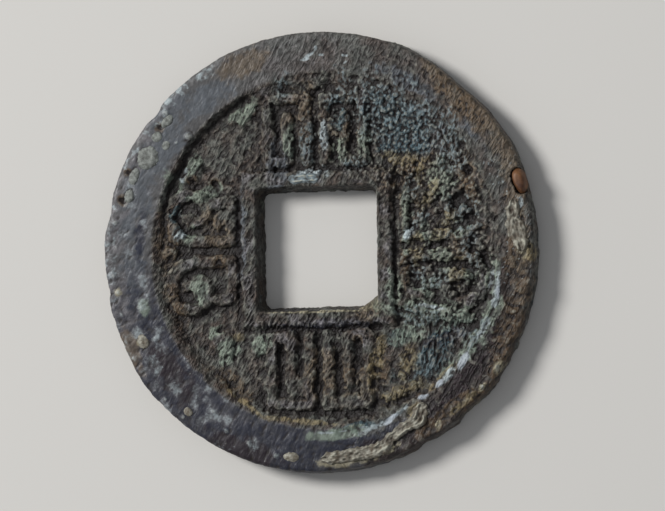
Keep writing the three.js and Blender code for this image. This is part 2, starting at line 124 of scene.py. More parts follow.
def lumps(places, cell, seed):
    """Distance to the nearest of a random scatter of points, in cells, and that point's number."""
    rng = np.random.default_rng(seed)
    offsets = rng.uniform(size=(RANDOM_ROWS, 4))
    scaled = places / cell
    corner = np.floor(scaled).astype(np.int64)
    nearest = np.full(len(places), np.inf)
    number = np.zeros(len(places))
    for step in itertools.product((-1, 0, 1), repeat=3):
        here = corner + step
        offset = offsets[random_row(here)]
        away = np.linalg.norm(here + offset[:, :3] - scaled, axis=1)
        closer = away < nearest
        nearest = np.where(closer, away, nearest)
        number = np.where(closer, offset[:, 3], number)
    return nearest, number


# Uneven outline: degrees from +X, spread either side, and how far in the edge is worn
EDGE_WEAR = (
    (28, 9, -0.1), (50, 12, 0.16), (68, 6, -0.08), (140, 4, 0.15), (169, 6, 0.11), (189, 6, 0.1),
    (217, 15, -0.09), (299, 4, 0.12), (313, 4, 0.12), (322, 6, -0.12),
)


def edge_wear(angle):
    """How far in the edge is worn in each direction."""
    degrees = np.degrees(angle)
    worn = np.zeros_like(degrees)
    for at, spread, depth in EDGE_WEAR:
        away = np.abs((degrees - at + 540) % 360 - 180)
        worn += np.where(away < spread, depth * (1 + np.cos(np.pi * away / spread)) / 2, 0)
    return worn


def hole_frame(x, y):
    """The same points from the hole's middle, along the directions of its sides."""
    from_x = x - HOLE_MIDDLE[0]
    from_y = y - HOLE_MIDDLE[1]
    cos, sin = math.cos(HOLE_TURN), math.sin(HOLE_TURN)
    return from_x * cos + from_y * sin, from_y * cos - from_x * sin


def hole_reach(angle, half):
    """How far a ray from the hole's middle goes to the hole's rounded square."""
    across, up = np.abs(np.cos(angle)), np.abs(np.sin(angle))
    flat = half / np.maximum(across, up)
    straight = half - HOLE_CORNER
    side = np.minimum(across, up) * flat
    ahead = straight * (across + up)
    corner = ahead + np.sqrt(np.maximum(ahead**2 - 2 * straight**2 + HOLE_CORNER**2, 0))
    return np.where(side > straight, corner, flat)


def outer_reach(direction):
    """How far a ray from the hole's middle goes to the coin's uneven outline."""
    middle = np.array(HOLE_MIDDLE)
    forward = direction @ middle
    reach = -forward + np.sqrt(forward**2 - middle @ middle + coin_radius**2)
    x, y = (middle + reach[:, None] * direction).T
    return reach - edge_wear(np.arctan2(y, x))


# Ornament: strokes with a groove between them, laid out in the hole's own directions
STROKE_WIDTH = 0.6
STROKE_HEIGHT = 0.3
GROOVE_WIDTH = 0.48
ORNAMENT_GAP = 0.14
CURL_RADIUS = 1.6
CURL_EYE = STROKE_WIDTH / 2 + 0.09
CURL_STEPS = 26
PITCH = STROKE_WIDTH + GROOVE_WIDTH
PELLET_RADIUS = 0.4


def path_distance(x, y, path):
    """Distance from each point to the nearest of a path's straight pieces."""
    nearest = np.full(x.shape, np.inf)
    for (ax, ay), (bx, by) in zip(path, path[1:]):
        dx, dy = bx - ax, by - ay
        along = np.clip(((x - ax) * dx + (y - ay) * dy) / (dx * dx + dy * dy), 0, 1)
        nearest = np.minimum(nearest, np.hypot(x - ax - along * dx, y - ay - along * dy))
    return nearest


def ornament_place(outwards):
    """One side of the hole: its points from (across, outwards), and how deep the field is there."""
    turned = outwards + HOLE_TURN
    ahead = np.array((math.cos(turned), math.sin(turned)))
    across = np.array((ahead[1], -ahead[0]))
    start = HOLE_HALF + HOLE_RIM_WIDTH + HOLE_RIM_DRAFT + ORNAMENT_GAP

    def at(u, v):
        """The point that lies this far across and this far outwards."""
        return np.array(HOLE_MIDDLE) + ahead * (start + v) + across * u

    def free_depth(u):
        """How far outwards the field goes at this distance either side of the middle."""
        depths = []
        for side in (-u, u):
            from_middle = at(side, 0) - FIELD_CENTRE
            forward = from_middle @ ahead
            wall = FIELD_RADIUS - WALL_SLOPE
            depths.append(math.sqrt(forward**2 + wall**2 - from_middle @ from_middle) - forward)
        return min(depths) - ORNAMENT_GAP

    return at, free_depth


def thunder_scroll(free_depth):
    """The path of a square scroll, as (across, outwards) from the hole's rim, and no pellet."""
    inner, middle, outer = 0.5 * PITCH, 1.5 * PITCH, 2.5 * PITCH
    low = STROKE_WIDTH / 2
    high = free_depth(outer + STROKE_WIDTH / 2) - STROKE_WIDTH / 2
    corners = [(inner, low), (inner, high), (outer, high), (outer, low), (middle, low)]
    return [*corners, (middle, high - PITCH)], None


def cloud_curl(free_depth):
    """The path of a curl that winds in to its eye, and the pellet between the two curls."""
    inner, outer = 0.5 * PITCH, 2.5 * PITCH
    low = STROKE_WIDTH / 2
    middle_u = inner + CURL_RADIUS
    high = free_depth(middle_u) - STROKE_WIDTH / 2
    middle_v = high - (CURL_RADIUS - PITCH / 4)
    path = [(outer, low + PITCH), (outer, low), (inner, low)]
    for turns in np.linspace(0, (CURL_RADIUS - CURL_EYE) / PITCH, CURL_STEPS):
        radius = CURL_RADIUS - PITCH * turns
        angle = math.pi - 2 * math.pi * turns
        path.append((middle_u + radius * math.cos(angle), middle_v + radius * math.sin(angle)))
    return path, (0, high)


def stroke_distance(x, y):
    """Distance from each point to the edge of the nearest stroke or pellet."""
    nearest = np.full(x.shape, np.inf)
    designs = ((0.5, thunder_scroll), (1.5, thunder_scroll), (0, cloud_curl), (1, cloud_curl))
    for half_turns, design in designs:
        at, free_depth = ornament_place(half_turns * math.pi)
        path, pellet = design(free_depth)
        for side in (-1, 1):
            away = path_distance(x, y, [at(side * u, v) for u, v in path])
            nearest = np.minimum(nearest, away - STROKE_WIDTH / 2)
        if pellet:
            away = np.hypot(x - at(*pellet)[0], y - at(*pellet)[1])
            nearest = np.minimum(nearest, away - PELLET_RADIUS)
    return nearest


def heaped(away):
    """Height of a heap of crust, as a share, from the distance to its middle as a share."""
    return np.sqrt(smooth(1.0, 0.42, away))


def in_oval(x, y, middle, length, width, lean):
    """Distance from an oval's middle, as a share of its reach in that direction."""
    cos, sin = math.cos(math.radians(lean)), math.sin(math.radians(lean))
    along = ((x - middle[0]) * cos + (y - middle[1]) * sin) * 2 / length
    across = ((y - middle[1]) * cos - (x - middle[0]) * sin) * 2 / width
    return np.hypot(along, across)


# The section of the coin is a closed ring of rows: up the wall of the hole, out across the
# obverse, down round the edge and back across the reverse
COLUMNS = 896
WALL_ROWS = 14
EDGE_STEPS = 6
OBVERSE_ROWS = 128
OUTER_ROWS = 8
ROUNDING_ROWS = 9
REVERSE_ROWS = 46
angles = np.arange(COLUMNS) * 2 * np.pi / COLUMNS
directions = np.stack((np.cos(angles), np.sin(angles)), axis=1)
in_hole_turn = angles - HOLE_TURN
outline_points = np.column_stack((directions * coin_radius, np.zeros(COLUMNS)))
outer = outer_reach(directions)
outer += waves(outline_points, (0.02, 1.7, 11), (0.02, 0.6, 12))
ragged_hole = waves(outline_points, (0.035, 6.0, 13), (0.012, 2.0, 14))


def hole_wall(height):
    """Distance from the hole's middle to its wall at one height, with the fin in its corner."""
    half = HOLE_HALF - HOLE_REVERSE_INSET * (1 - height / rim_top)
    reach = hole_reach(in_hole_turn, half) + ragged_hole
    across, up = np.cos(in_hole_turn), np.sin(in_hole_turn)
    side = FIN_LENGTH * up - FIN_WIDTH * across
    line = FIN_LENGTH * -HOLE_HALF - FIN_WIDTH * (HOLE_HALF - FIN_LENGTH)
    fin = np.where(side < 0, line / np.minimum(side, -1e-6), np.inf)
    low, high = FIN_SPAN
    share = smooth(low - 0.15, low + 0.1, height) * smooth(high + 0.07, high - 0.03, height)
    return reach + share * (np.minimum(fin, reach) - reach)


hole_low, hole_high = HOLE_RIM_DROP, rim_top - HOLE_RIM_DROP
rows = []
kinds = []


def add_row(reach, height, kind):
    """Adds a row of points round the hole at one height, and says what it belongs to."""
    rows.append(np.column_stack((directions * reach[:, None] + HOLE_MIDDLE, np.full(COLUMNS, height))))
    kinds.append(kind)


for height in np.linspace(hole_low + HOLE_EDGE_WEAR, hole_high - HOLE_EDGE_WEAR, WALL_ROWS):
    add_row(hole_wall(height), height, "hole")
for turn in np.linspace(0, np.pi / 2, EDGE_STEPS)[1:]:
    start = hole_wall(hole_high - HOLE_EDGE_WEAR)
    height = hole_high - HOLE_EDGE_WEAR * (1 - math.sin(turn))
    add_row(start + HOLE_EDGE_WEAR * (1 - math.cos(turn)), height, "hole")
obverse_start = hole_wall(hole_high) + HOLE_EDGE_WEAR
obverse_end = outer - EDGE_ROUNDING
for share in (np.arange(OBVERSE_ROWS) + 1) / (OBVERSE_ROWS + 1):
    add_row(obverse_start + share * (obverse_end - obverse_start), rim_top, "obverse")
for turn in np.linspace(np.pi / 2, 0, ROUNDING_ROWS):
    height = rim_top - EDGE_ROUNDING * (1 - math.sin(turn) ** EDGE_POWER)
    add_row(obverse_end + EDGE_ROUNDING * math.cos(turn) ** EDGE_POWER, height, "edge")
for height in np.linspace(rim_top - EDGE_ROUNDING, EDGE_ROUNDING, OUTER_ROWS)[1:-1]:
    add_row(outer, height, "edge")
for turn in np.linspace(0, np.pi / 2, ROUNDING_ROWS):
    height = EDGE_ROUNDING * (1 - math.sin(turn) ** EDGE_POWER)
    add_row(obverse_end + EDGE_ROUNDING * math.cos(turn) ** EDGE_POWER, height, "edge")
reverse_start = hole_wall(hole_low) + HOLE_EDGE_WEAR
for share in (np.arange(REVERSE_ROWS) + 1) / (REVERSE_ROWS + 1):
    add_row(obverse_end + share * (reverse_start - obverse_end), 0, "reverse")
for turn in np.linspace(np.pi / 2, 0, EDGE_STEPS)[:-1]:
    start = hole_wall(hole_low + HOLE_EDGE_WEAR)
    height = hole_low + HOLE_EDGE_WEAR * (1 - math.sin(turn))
    add_row(start + HOLE_EDGE_WEAR * (1 - math.cos(turn)), height, "hole")

row_count = len(rows)
points = np.concatenate(rows)
kind = np.repeat(np.array(kinds), COLUMNS)
x, y = points[:, 0], points[:, 1]
flat_points = points * (1, 1, 0)
on_obverse = kind == "obverse"
on_reverse = kind == "reverse"
on_edge = kind == "edge"
in_hole = kind == "hole"

# How much of each point shows from above, from 0 to 1
seen_above = np.where(on_edge, smooth(0.2, 1.15, points[:, 2]), on_obverse)
seen_above = np.where(in_hole, smooth(hole_high - 0.5, hole_high - 0.1, points[:, 2]), seen_above)

# Relief: rims, ornament and field, each with its edge eaten ragged. Heights and depths in mm.
LOST_EDGE_HEIGHT = 0.32
GROOVE_DEPTH = 0.12
CRACK_DEPTH = 0.07
LIP_HEIGHT = 0.05
angle = np.arctan2(y, x)
radius = np.hypot(x, y)


def towards(degrees, low, high):
    """How far each point lies in one direction from the coin's middle, from 0 to 1."""
    return smooth(low, high, np.cos(angle - math.radians(degrees)))


ragged = waves(flat_points, (0.085, 1.1, 21), (0.085, 0.4, 22))
field_x, field_y = x - FIELD_CENTRE[0], y - FIELD_CENTRE[1]
field_reach = np.hypot(field_x, field_y)
from_field = field_reach - FIELD_RADIUS
lower_right = towards(-38, 0.55, 0.9)
upper_right = towards(47, 0.6, 0.95) * smooth(6.2, 9.0, radius)
hole_x, hole_y = hole_frame(x, y)
from_hole = np.maximum(np.abs(hole_x), np.abs(hole_y)) - HOLE_HALF

# The wall of the field leans back at lower right, because the floor lies off the middle
leaning = (FLOOR_SHIFT[0] * field_x + FLOOR_SHIFT[1] * field_y) / np.maximum(field_reach, 1)
slumped = np.maximum(0.4 * towards(236, 0.6, 0.95), 0.4 * towards(190, 0.85, 0.97))
rim = smooth(leaning - WALL_WIDTH - 0.04 - slumped, 0.08, from_field + 0.75 * ragged)
hole_rim = smooth(HOLE_RIM_WIDTH + 0.16, HOLE_RIM_WIDTH - 0.14, from_hole + 0.9 * ragged)
hole_rim *= 0.86 + 0.25 * grain(flat_points, 1.3, 26)

# Strokes with worn, uneven sides and flat tops that carry the same grain as the field
from_stroke = stroke_distance(x, y) + 0.07 * grain(flat_points, 2.4, 30)
strokes = STROKE_HEIGHT * smooth(0.17, -0.15, from_stroke + 1.1 * ragged)
strokes *= np.clip(0.86 + 0.4 * grain(flat_points, 1.2, 23), 0.45, 1.0)

# Bank of crust against the field's wall: degrees about the field's middle, and how far it reaches
# in from the edge of the rim
BANK_HEIGHT = 0.27
BANK_REACH = (
    (-16, 0.5), (0, 1.0), (18, 1.5), (32, 2.2), (46, 3.3), (60, 2.9), (74, 1.8), (90, 1.1),
    (104, 0.5),
)

# Mounds of crust in the field: degrees about its middle, distance from the edge of the rim in to
# their middle, length, width, lean in degrees and height
FIELD_MOUNDS = (
    (122.4, 0.83, 2.2, 1.3, 35, 0.17),
    (149.1, 0.85, 1.9, 1.2, 60, 0.2),
    (173.8, 1.27, 1.3, 1.2, 60, 0.18),
    (197.5, 2.27, 1.7, 1.2, 110, 0.2),
    (30.6, 2.34, 2.1, 1.7, 100, 0.25),
    (45.9, 3.42, 1.8, 1.3, 5, 0.23),
    (331.3, 2.82, 5.6, 1.1, -11, 0.24),
    (298.2, 1.02, 2.4, 1.1, 27, 0.2),
    (235.3, 3.3, 1.5, 1.1, 40, 0.2),
    (220.1, 1.97, 2.0, 1.3, 135, 0.2),
    (87.7, 3.02, 1.5, 1.7, 0, 0.22),
    (278, 1.49, 1.9, 1.2, 10, 0.21),
    (258, 2.0, 1.2, 1.6, 0, 0.2),
    (2.5, 2.37, 1.7, 1.5, 0, 0.2),
    (12.2, 4.56, 1.1, 1.6, 0, 0.2),
    (163.2, 3.55, 1.3, 1.0, 60, 0.2),
    (116.3, 3.02, 1.2, 1.5, 0, 0.17),
    (295.1, 3.8, 1.2, 1.9, -10, 0.19),
)

# Crust: the bank, what hides the top edge of the field, and the mounds
down_bank = (0.9 * ragged - from_field) / np.interp(
    np.degrees(np.arctan2(field_y, field_x)), *np.transpose(BANK_REACH), left=0.02, right=0.02)
crust = BANK_HEIGHT * heaped(np.maximum(down_bank, 0))
lost_edge = towards(100, 0.93, 0.985) * smooth(-1.3, -0.3, from_field + 1.5 * ragged)
crust = np.maximum(crust, LOST_EDGE_HEIGHT * lost_edge)
for degrees, inset, length, width, lean, height in FIELD_MOUNDS:
    turn = math.radians(degrees)
    reach = FIELD_RADIUS - inset
    middle = (FIELD_CENTRE[0] + reach * math.cos(turn), FIELD_CENTRE[1] + reach * math.sin(turn))
    away = in_oval(x, y, middle, length, width, lean) + 2.2 * ragged / width
    crust = np.maximum(crust, height * heaped(np.maximum(away, 0)))
crust *= 1 + 0.3 * grain(flat_points, 0.8, 24)
swell = waves(flat_points, (0.05, 2.2, 25), (0.06, 0.85, 27))

# Grooves eaten beside the strokes, beside the hole's rim and at the foot of the rim's left side
groove = smooth(-0.02, 0.14, from_stroke + 1.2 * ragged) * smooth(0.55, 0.2, from_stroke + ragged)
beside_hole = smooth(0.42, 0.1, np.abs(from_hole - HOLE_RIM_WIDTH - 0.3 + ragged))
beside_hole *= np.abs(hole_x) > np.abs(hole_y)
eaten = np.maximum(groove, beside_hole) * np.clip(0.55 + 1.1 * grain(flat_points, 1.2, 28), 0, 1.3)
# Foot of the rim's upper left side, where the rim's shadow falls: eaten deeper here, and also painted
# dark as that shadow in the colour below
rim_foot_groove_and_shadow = towards(138, 0.6, 0.9) * smooth(-0.85, -0.35, from_field + 1.5 * ragged)
rim_foot_groove_and_shadow *= smooth(0.0, -0.2, from_field)
eaten = np.maximum(eaten, 0.8 * rim_foot_groove_and_shadow)
eaten *= (1 - upper_right) * (1 - 0.3 * towards(5, 0.7, 0.95))
cracked = smooth(0.09, 0.0, np.abs(grain(flat_points, 0.75, 31) + 0.5 * ragged))
cracked *= smooth(0.0, 0.45, grain(flat_points, 1.9, 32)) * (1 - upper_right)
field = np.maximum(strokes, crust) + swell - GROOVE_DEPTH * eaten - CRACK_DEPTH * cracked
raised = np.maximum(hole_rim * (FIELD_DEPTH - HOLE_RIM_DROP), rim * (FIELD_DEPTH - 0.25 * swell))
slope_crest = np.exp(-(((from_field + 0.3 + 0.9 * ragged) / 0.26) ** 2)) * on_obverse
polish = lower_right * slope_crest * smooth(-0.1, 0.45, grain(flat_points, 0.7, 38))
lip = LIP_HEIGHT * lower_right * np.exp(-(((from_field - 0.05 + ragged) / 0.22) ** 2))
obverse_height = rim_top - FIELD_DEPTH + np.maximum(field, raised) + lip

reverse_rim = smooth(-0.28, 0.1, np.hypot(x - REVERSE_CENTRE[0], y - REVERSE_CENTRE[1])
                     - REVERSE_RADIUS + ragged)
reverse_hole_rim = smooth(HOLE_RIM_WIDTH + 0.5, HOLE_RIM_WIDTH + 0.18, from_hole + ragged)
reverse_raised = np.maximum(reverse_rim, reverse_hole_rim * (1 - HOLE_RIM_DROP / REVERSE_DEPTH))
reverse_height = REVERSE_DEPTH * (1 - reverse_raised) + swell * (1 - reverse_rim)
points[:, 2] = np.where(on_obverse, obverse_height, points[:, 2])
points[:, 2] = np.where(on_reverse, np.maximum(reverse_height, 0), points[:, 2])

# Ledge in the edge that the orange nodule fills: degrees, inset from the rim's flat, length,
# width, drop and the crack left round the nodule
NODULE_LEDGE = (18.4, -0.12, 1.35, 0.6, 0.4)
LEDGE_CRACK = 0.08

# It opens outwards from the middle of its oval
ledge_at, ledge_inset, ledge_length, ledge_width, ledge_drop = NODULE_LEDGE
ledge_turn = math.radians(ledge_at)
ledge_reach = coin_radius - EDGE_ROUNDING - ledge_inset
outwards = x * math.cos(ledge_turn) + y * math.sin(ledge_turn) - ledge_reach
sideways = y * math.cos(ledge_turn) - x * math.sin(ledge_turn)
across = np.minimum(outwards, 0) / (ledge_width / 2 + LEDGE_CRACK)
on_ledge = np.hypot(across, sideways / (ledge_length / 2 + LEDGE_CRACK)) + 0.6 * ragged < 1
points[:, 2] = np.where(on_ledge, np.minimum(points[:, 2], rim_top - ledge_drop), points[:, 2])

# Corrosion moves the surface along its normal: worm-like ridges, grains, pits and small lumps.
# How high or deep each goes, and how wide it is, in mm.
WORM_HEIGHT = 0.1
WORM_WIDTH = 0.2
GRANULE_HEIGHT = 0.19
GRANULE_WIDTH = 0.22
PIT_DEPTH = 0.08
PIT_SPACING = 0.8
POCK_DEPTH = 0.045
FLAKE_DEPTH = 0.06
SCALE_HEIGHT = 0.035
MOST_PROUD = 0.09
grid = points.reshape(row_count, COLUMNS, 3)
along_rows = np.roll(grid, -1, axis=1) - np.roll(grid, 1, axis=1)
across_rows = np.roll(grid, -1, axis=0) - np.roll(grid, 1, axis=0)
normals = np.cross(across_rows, along_rows).reshape(-1, 3)
normals /= np.maximum(np.linalg.norm(normals, axis=1, keepdims=True), 1e-9)

rim_land = np.where(on_obverse | on_edge, smooth(-0.05, 0.25, from_field), 0)
rubbed = rim_land * (0.2 + 0.8 * (1 - towards(20, -0.35, 0.5)))
rough = np.where(on_obverse, (1 - 0.86 * rubbed) * (1 - 0.6 * polish), 0.5)
rough = np.where(on_edge, 0.55 - 0.3 * rubbed, rough)
rough *= 1 + 0.3 * towards(-40, 0.6, 0.9) * (1 - rim) * on_obverse
rough *= 1 - 0.45 * rim_land * towards(-15, 0.3, 0.8)
rough *= 1 - 0.35 * rim_land * towards(95, 0.9, 0.98)
rough *= 1 - 0.35 * np.exp(-(((from_field + 0.2) / 0.26) ** 2)) * (1 - lower_right) * on_obverse

# The worms lean by about 45 degrees at the left edge, and are steeper to the right
worms = np.zeros(len(points))
for lean, middle_x, seed in ((44, -10.5, 41), (60, -1.5, 43), (84, 8.0, 45)):
    cos, sin = math.cos(math.radians(lean)), math.sin(math.radians(lean))
    lengthways = (x * cos + y * sin) / 3
    sideways = y * cos - x * sin
    streak_points = np.column_stack((lengthways, sideways, points[:, 2] * 0.5))
    share = smooth(6.5, 1.5, np.abs(x - middle_x + 1.5 * grain(flat_points, 3, seed)))
    ridges = 0.3 - 1.3 * np.abs(grain(streak_points, WORM_WIDTH, seed))
    ridges += 0.5 * grain(streak_points, 0.5, seed + 1)
    worms = np.where(share > 0, worms + share * ridges, worms)
granular = towards(38, 0.2, 0.85) * smooth(3.5, 6, radius) * (1 - 0.5 * smooth(9.4, 10.8, radius))
granular = np.maximum(granular, 0.75 * rim_land * towards(-40, 0.5, 0.9))
grains, grain_number = lumps(points, GRANULE_WIDTH, 33)
granules = (0.48 - grains) * (0.6 + 0.9 * grain_number)
fine = 0.035 * grain(points, 0.17, 34) + 0.075 * (1 - 0.6 * rim_land) * grain(points, 0.5, 35)
fine += 0.05 * granular * grain(points, 0.6, 46)
pits, pit_number = lumps(points + 0.1 * grain(points, 0.3, 40)[:, None], PIT_SPACING, 36)
pit_size = 0.1 + 0.2 * pit_number
pitted = -PIT_DEPTH * smooth(pit_size, 0.3 * pit_size, pits) * (pit_number > 0.55)
bite = rough * (WORM_HEIGHT * worms * (1 - 0.8 * granular)
                + GRANULE_HEIGHT * granules * (0.15 + 0.85 * granular) + fine + pitted)
bite += (1 - rough) * (0.014 * grain(points, 1.3, 37) + 0.006 * worms)
bite += rim_land * towards(225, 0.2, 0.9) * (0.03 * grain(points, 0.5, 79) + 0.014 * worms)
pocked = rim_land * towards(-22, 0.45, 0.85) * smooth(0.3, 0.6, grain(points, 0.3, 83))
bite -= POCK_DEPTH * pocked
flaked = towards(-48, 0.55, 0.92) * smooth(10.8, 11.3, radius + 1.2 * ragged) * seen_above
bite -= FLAKE_DEPTH * flaked * (1 + 0.7 * grain(points, 0.8, 39))
scale_edge = smooth(-0.04, 0.05, grain(points, 0.8, 80)) + smooth(0.3, 0.38, grain(points, 0.6, 81))
bite += SCALE_HEIGHT * (scale_edge - 0.7) * towards(-40, 0.55, 0.85) * rim_land
bite = np.where(on_ledge, 0.3 * bite, bite)
bite = np.where(on_reverse & (reverse_rim > 0.6), np.minimum(bite, 0) * 0.5, bite)

# Holes eaten into the crust and the rim: middle, radius and depth
PITS = (
    (6.45, 5.15, 0.3, 0.16), (8.45, 4.4, 0.36, 0.18), (5.45, 4.8, 0.24, 0.12),
    (7.6, 4.75, 0.2, 0.12), (-11.15, 3.0, 0.26, 0.12), (-10.9, 4.55, 0.2, 0.07),
    (-9.05, 7.05, 0.22, 0.08), (-7.3, 4.1, 0.26, 0.12), (4.9, 4.3, 0.2, 0.1),
    (8.35, 1.9, 0.26, 0.14), (-8.5, 2.4, 0.22, 0.12), (-6.0, 3.9, 0.26, 0.12),
    (-5.7, -0.6, 0.28, 0.12), (2.2, -4.9, 0.22, 0.12),
)

# Dark gaps where blisters stand off the rim on their upper left: middle, half length, half width
# and lean in degrees of the blister
DARK_RINGS = (
    (-9.73, 5.24, 0.62, 0.6, 60), (-10.54, 4.35, 0.5, 0.28, 68), (-10.8, 3.22, 0.4, 0.28, 74),
    (-9.08, 6.45, 0.3, 0.27, 52),
)
GAP_DEPTH = 0.03

# Small blisters on the rim that haven't burst: middle, radius and height
SWELLINGS = (
    (-7.42, 6.5, 0.26, 0.09), (-8.7, 7.8, 0.26, 0.06), (-8.1, 6.15, 0.14, 0.04),
    (-11.6, 1.72, 0.3, 0.06), (-11.7, -1.2, 0.24, 0.05), (-11.4, -2.15, 0.28, 0.06),
    (-10.0, -3.0, 0.42, 0.04), (-11.55, 0.3, 0.22, 0.04), (-11.2, -3.4, 0.2, 0.04),
    (10.6, 1.9, 0.14, 0.05), (10.75, 3.1, 0.13, 0.05), (10.45, 2.6, 0.12, 0.04),
    (10.2, -6.5, 0.34, 0.05), (9.3, -7.6, 0.26, 0.05), (-10.5, -5.9, 0.18, 0.04),
    (-8.7, -8.1, 0.2, 0.04), (-7.7, -9.1, 0.22, 0.04), (-6.0, -8.8, 0.18, 0.04),
    (-5.2, -9.9, 0.2, 0.04), (-3.9, -10.6, 0.22, 0.05), (-2.4, -11.3, 0.26, 0.05),
)

hollow = np.zeros(len(points))
rusty = 1.0 * on_ledge
torn_edge = 0.6 * ragged + 0.07 * grain(flat_points, 0.22, 42)
for px, py, size, depth in PITS:
    away = np.hypot(x - px, y - py) + torn_edge
    dip = smooth(1.1 * size, 0.3 * size, away) * seen_above
    bite -= depth * dip
    hollow = np.maximum(hollow, 0.5 * dip)
    rusty = np.maximum(rusty, smooth(1.9 * size, 0.8 * size, away) * seen_above)
swollen = np.zeros(len(points))
for px, py, size, height in SWELLINGS:
    away = np.hypot(x - px, y - py) + torn_edge
    rise = smooth(1.1 * size, 0.2 * size, away) * seen_above
    bite += height * rise
    swollen = np.maximum(swollen, rise)
for px, py, length, width, lean in DARK_RINGS:
    away = in_oval(x, y, (px, py), 2 * length, 2 * width, lean)
    dip = smooth(1.3, 1.08, away + 0.9 * ragged) * smooth(0.6, 0.85, away) * seen_above
    dip *= 0.15 + 0.85 * smooth(-0.1, 0.6, (px - x + y - py) / (length + width))
    bite -= GAP_DEPTH * dip
    hollow = np.maximum(hollow, 0.5 * dip)
shaped = points + normals * bite[:, None]
shaped[:, 2] = np.clip(shaped[:, 2], 0, rim_top + MOST_PROUD)


def averaged(values, row_reach, column_reach):
    """Each value's mean over the rows and columns round it."""
    table = values.reshape(row_count, COLUMNS)
    for reach, axis in ((row_reach, 0), (column_reach, 1)):
        total = np.zeros_like(table)
        for step in range(-reach, reach + 1):
            total += np.roll(table, step, axis=axis)
        table = total / (2 * reach + 1)
    return table.reshape(-1)


# How far each point stands out of its surroundings or lies below them, as a share of the height
# that makes it fully pale or dark: partly rubbed crests and dirt in hollows, partly a painted
# highlight on the crests and painted shade in the hollows
PALE_HEIGHT = 0.032
DARK_DEPTH = 0.12
level = np.where(on_obverse, shaped[:, 2], rim_top + bite)
level = np.where(on_reverse, rim_top - shaped[:, 2], level)
level = np.where(in_hole, hole_high + bite, level)
texture = 0.2 * level + 0.8 * bite
stands_out = (texture - averaged(texture, 3, 4)) / PALE_HEIGHT
sunk = (averaged(level, 11, 14) - level) / DARK_DEPTH
beside_wall = np.exp(-(((from_field + 0.35) / 0.5) ** 2)) * on_obverse
sunk *= 1 - 0.65 * towards(190, 0.9, 0.985) * beside_wall
# Painted shade, partly soil too: darker still in the pits and the gaps beside the blisters, at the foot
# of the rim's upper left side where the rim's shadow falls, and on the ledge under the nodule
sunk = np.maximum(sunk, 1.5 * hollow)
sunk = np.maximum(sunk, 0.7 * rim_foot_groove_and_shadow * on_obverse * (0.85 + 2 * ragged))
sunk = np.maximum(sunk, 0.5 * on_ledge)
fin_corner = (hole_x > HOLE_HALF - FIN_LENGTH - 0.05) & (hole_y < FIN_WIDTH + 0.05 - HOLE_HALF)
on_fin = in_hole & fin_corner & (from_hole < -0.03) & (shaped[:, 2] > 0.6)
# Painted shade: the hole's wall is dark all round below its top edge, except on the fin
sunk = np.where(in_hole & (points[:, 2] < hole_high - 0.1) & ~on_fin, 0.7, sunk)
sunk = np.where(on_fin, 0, sunk)
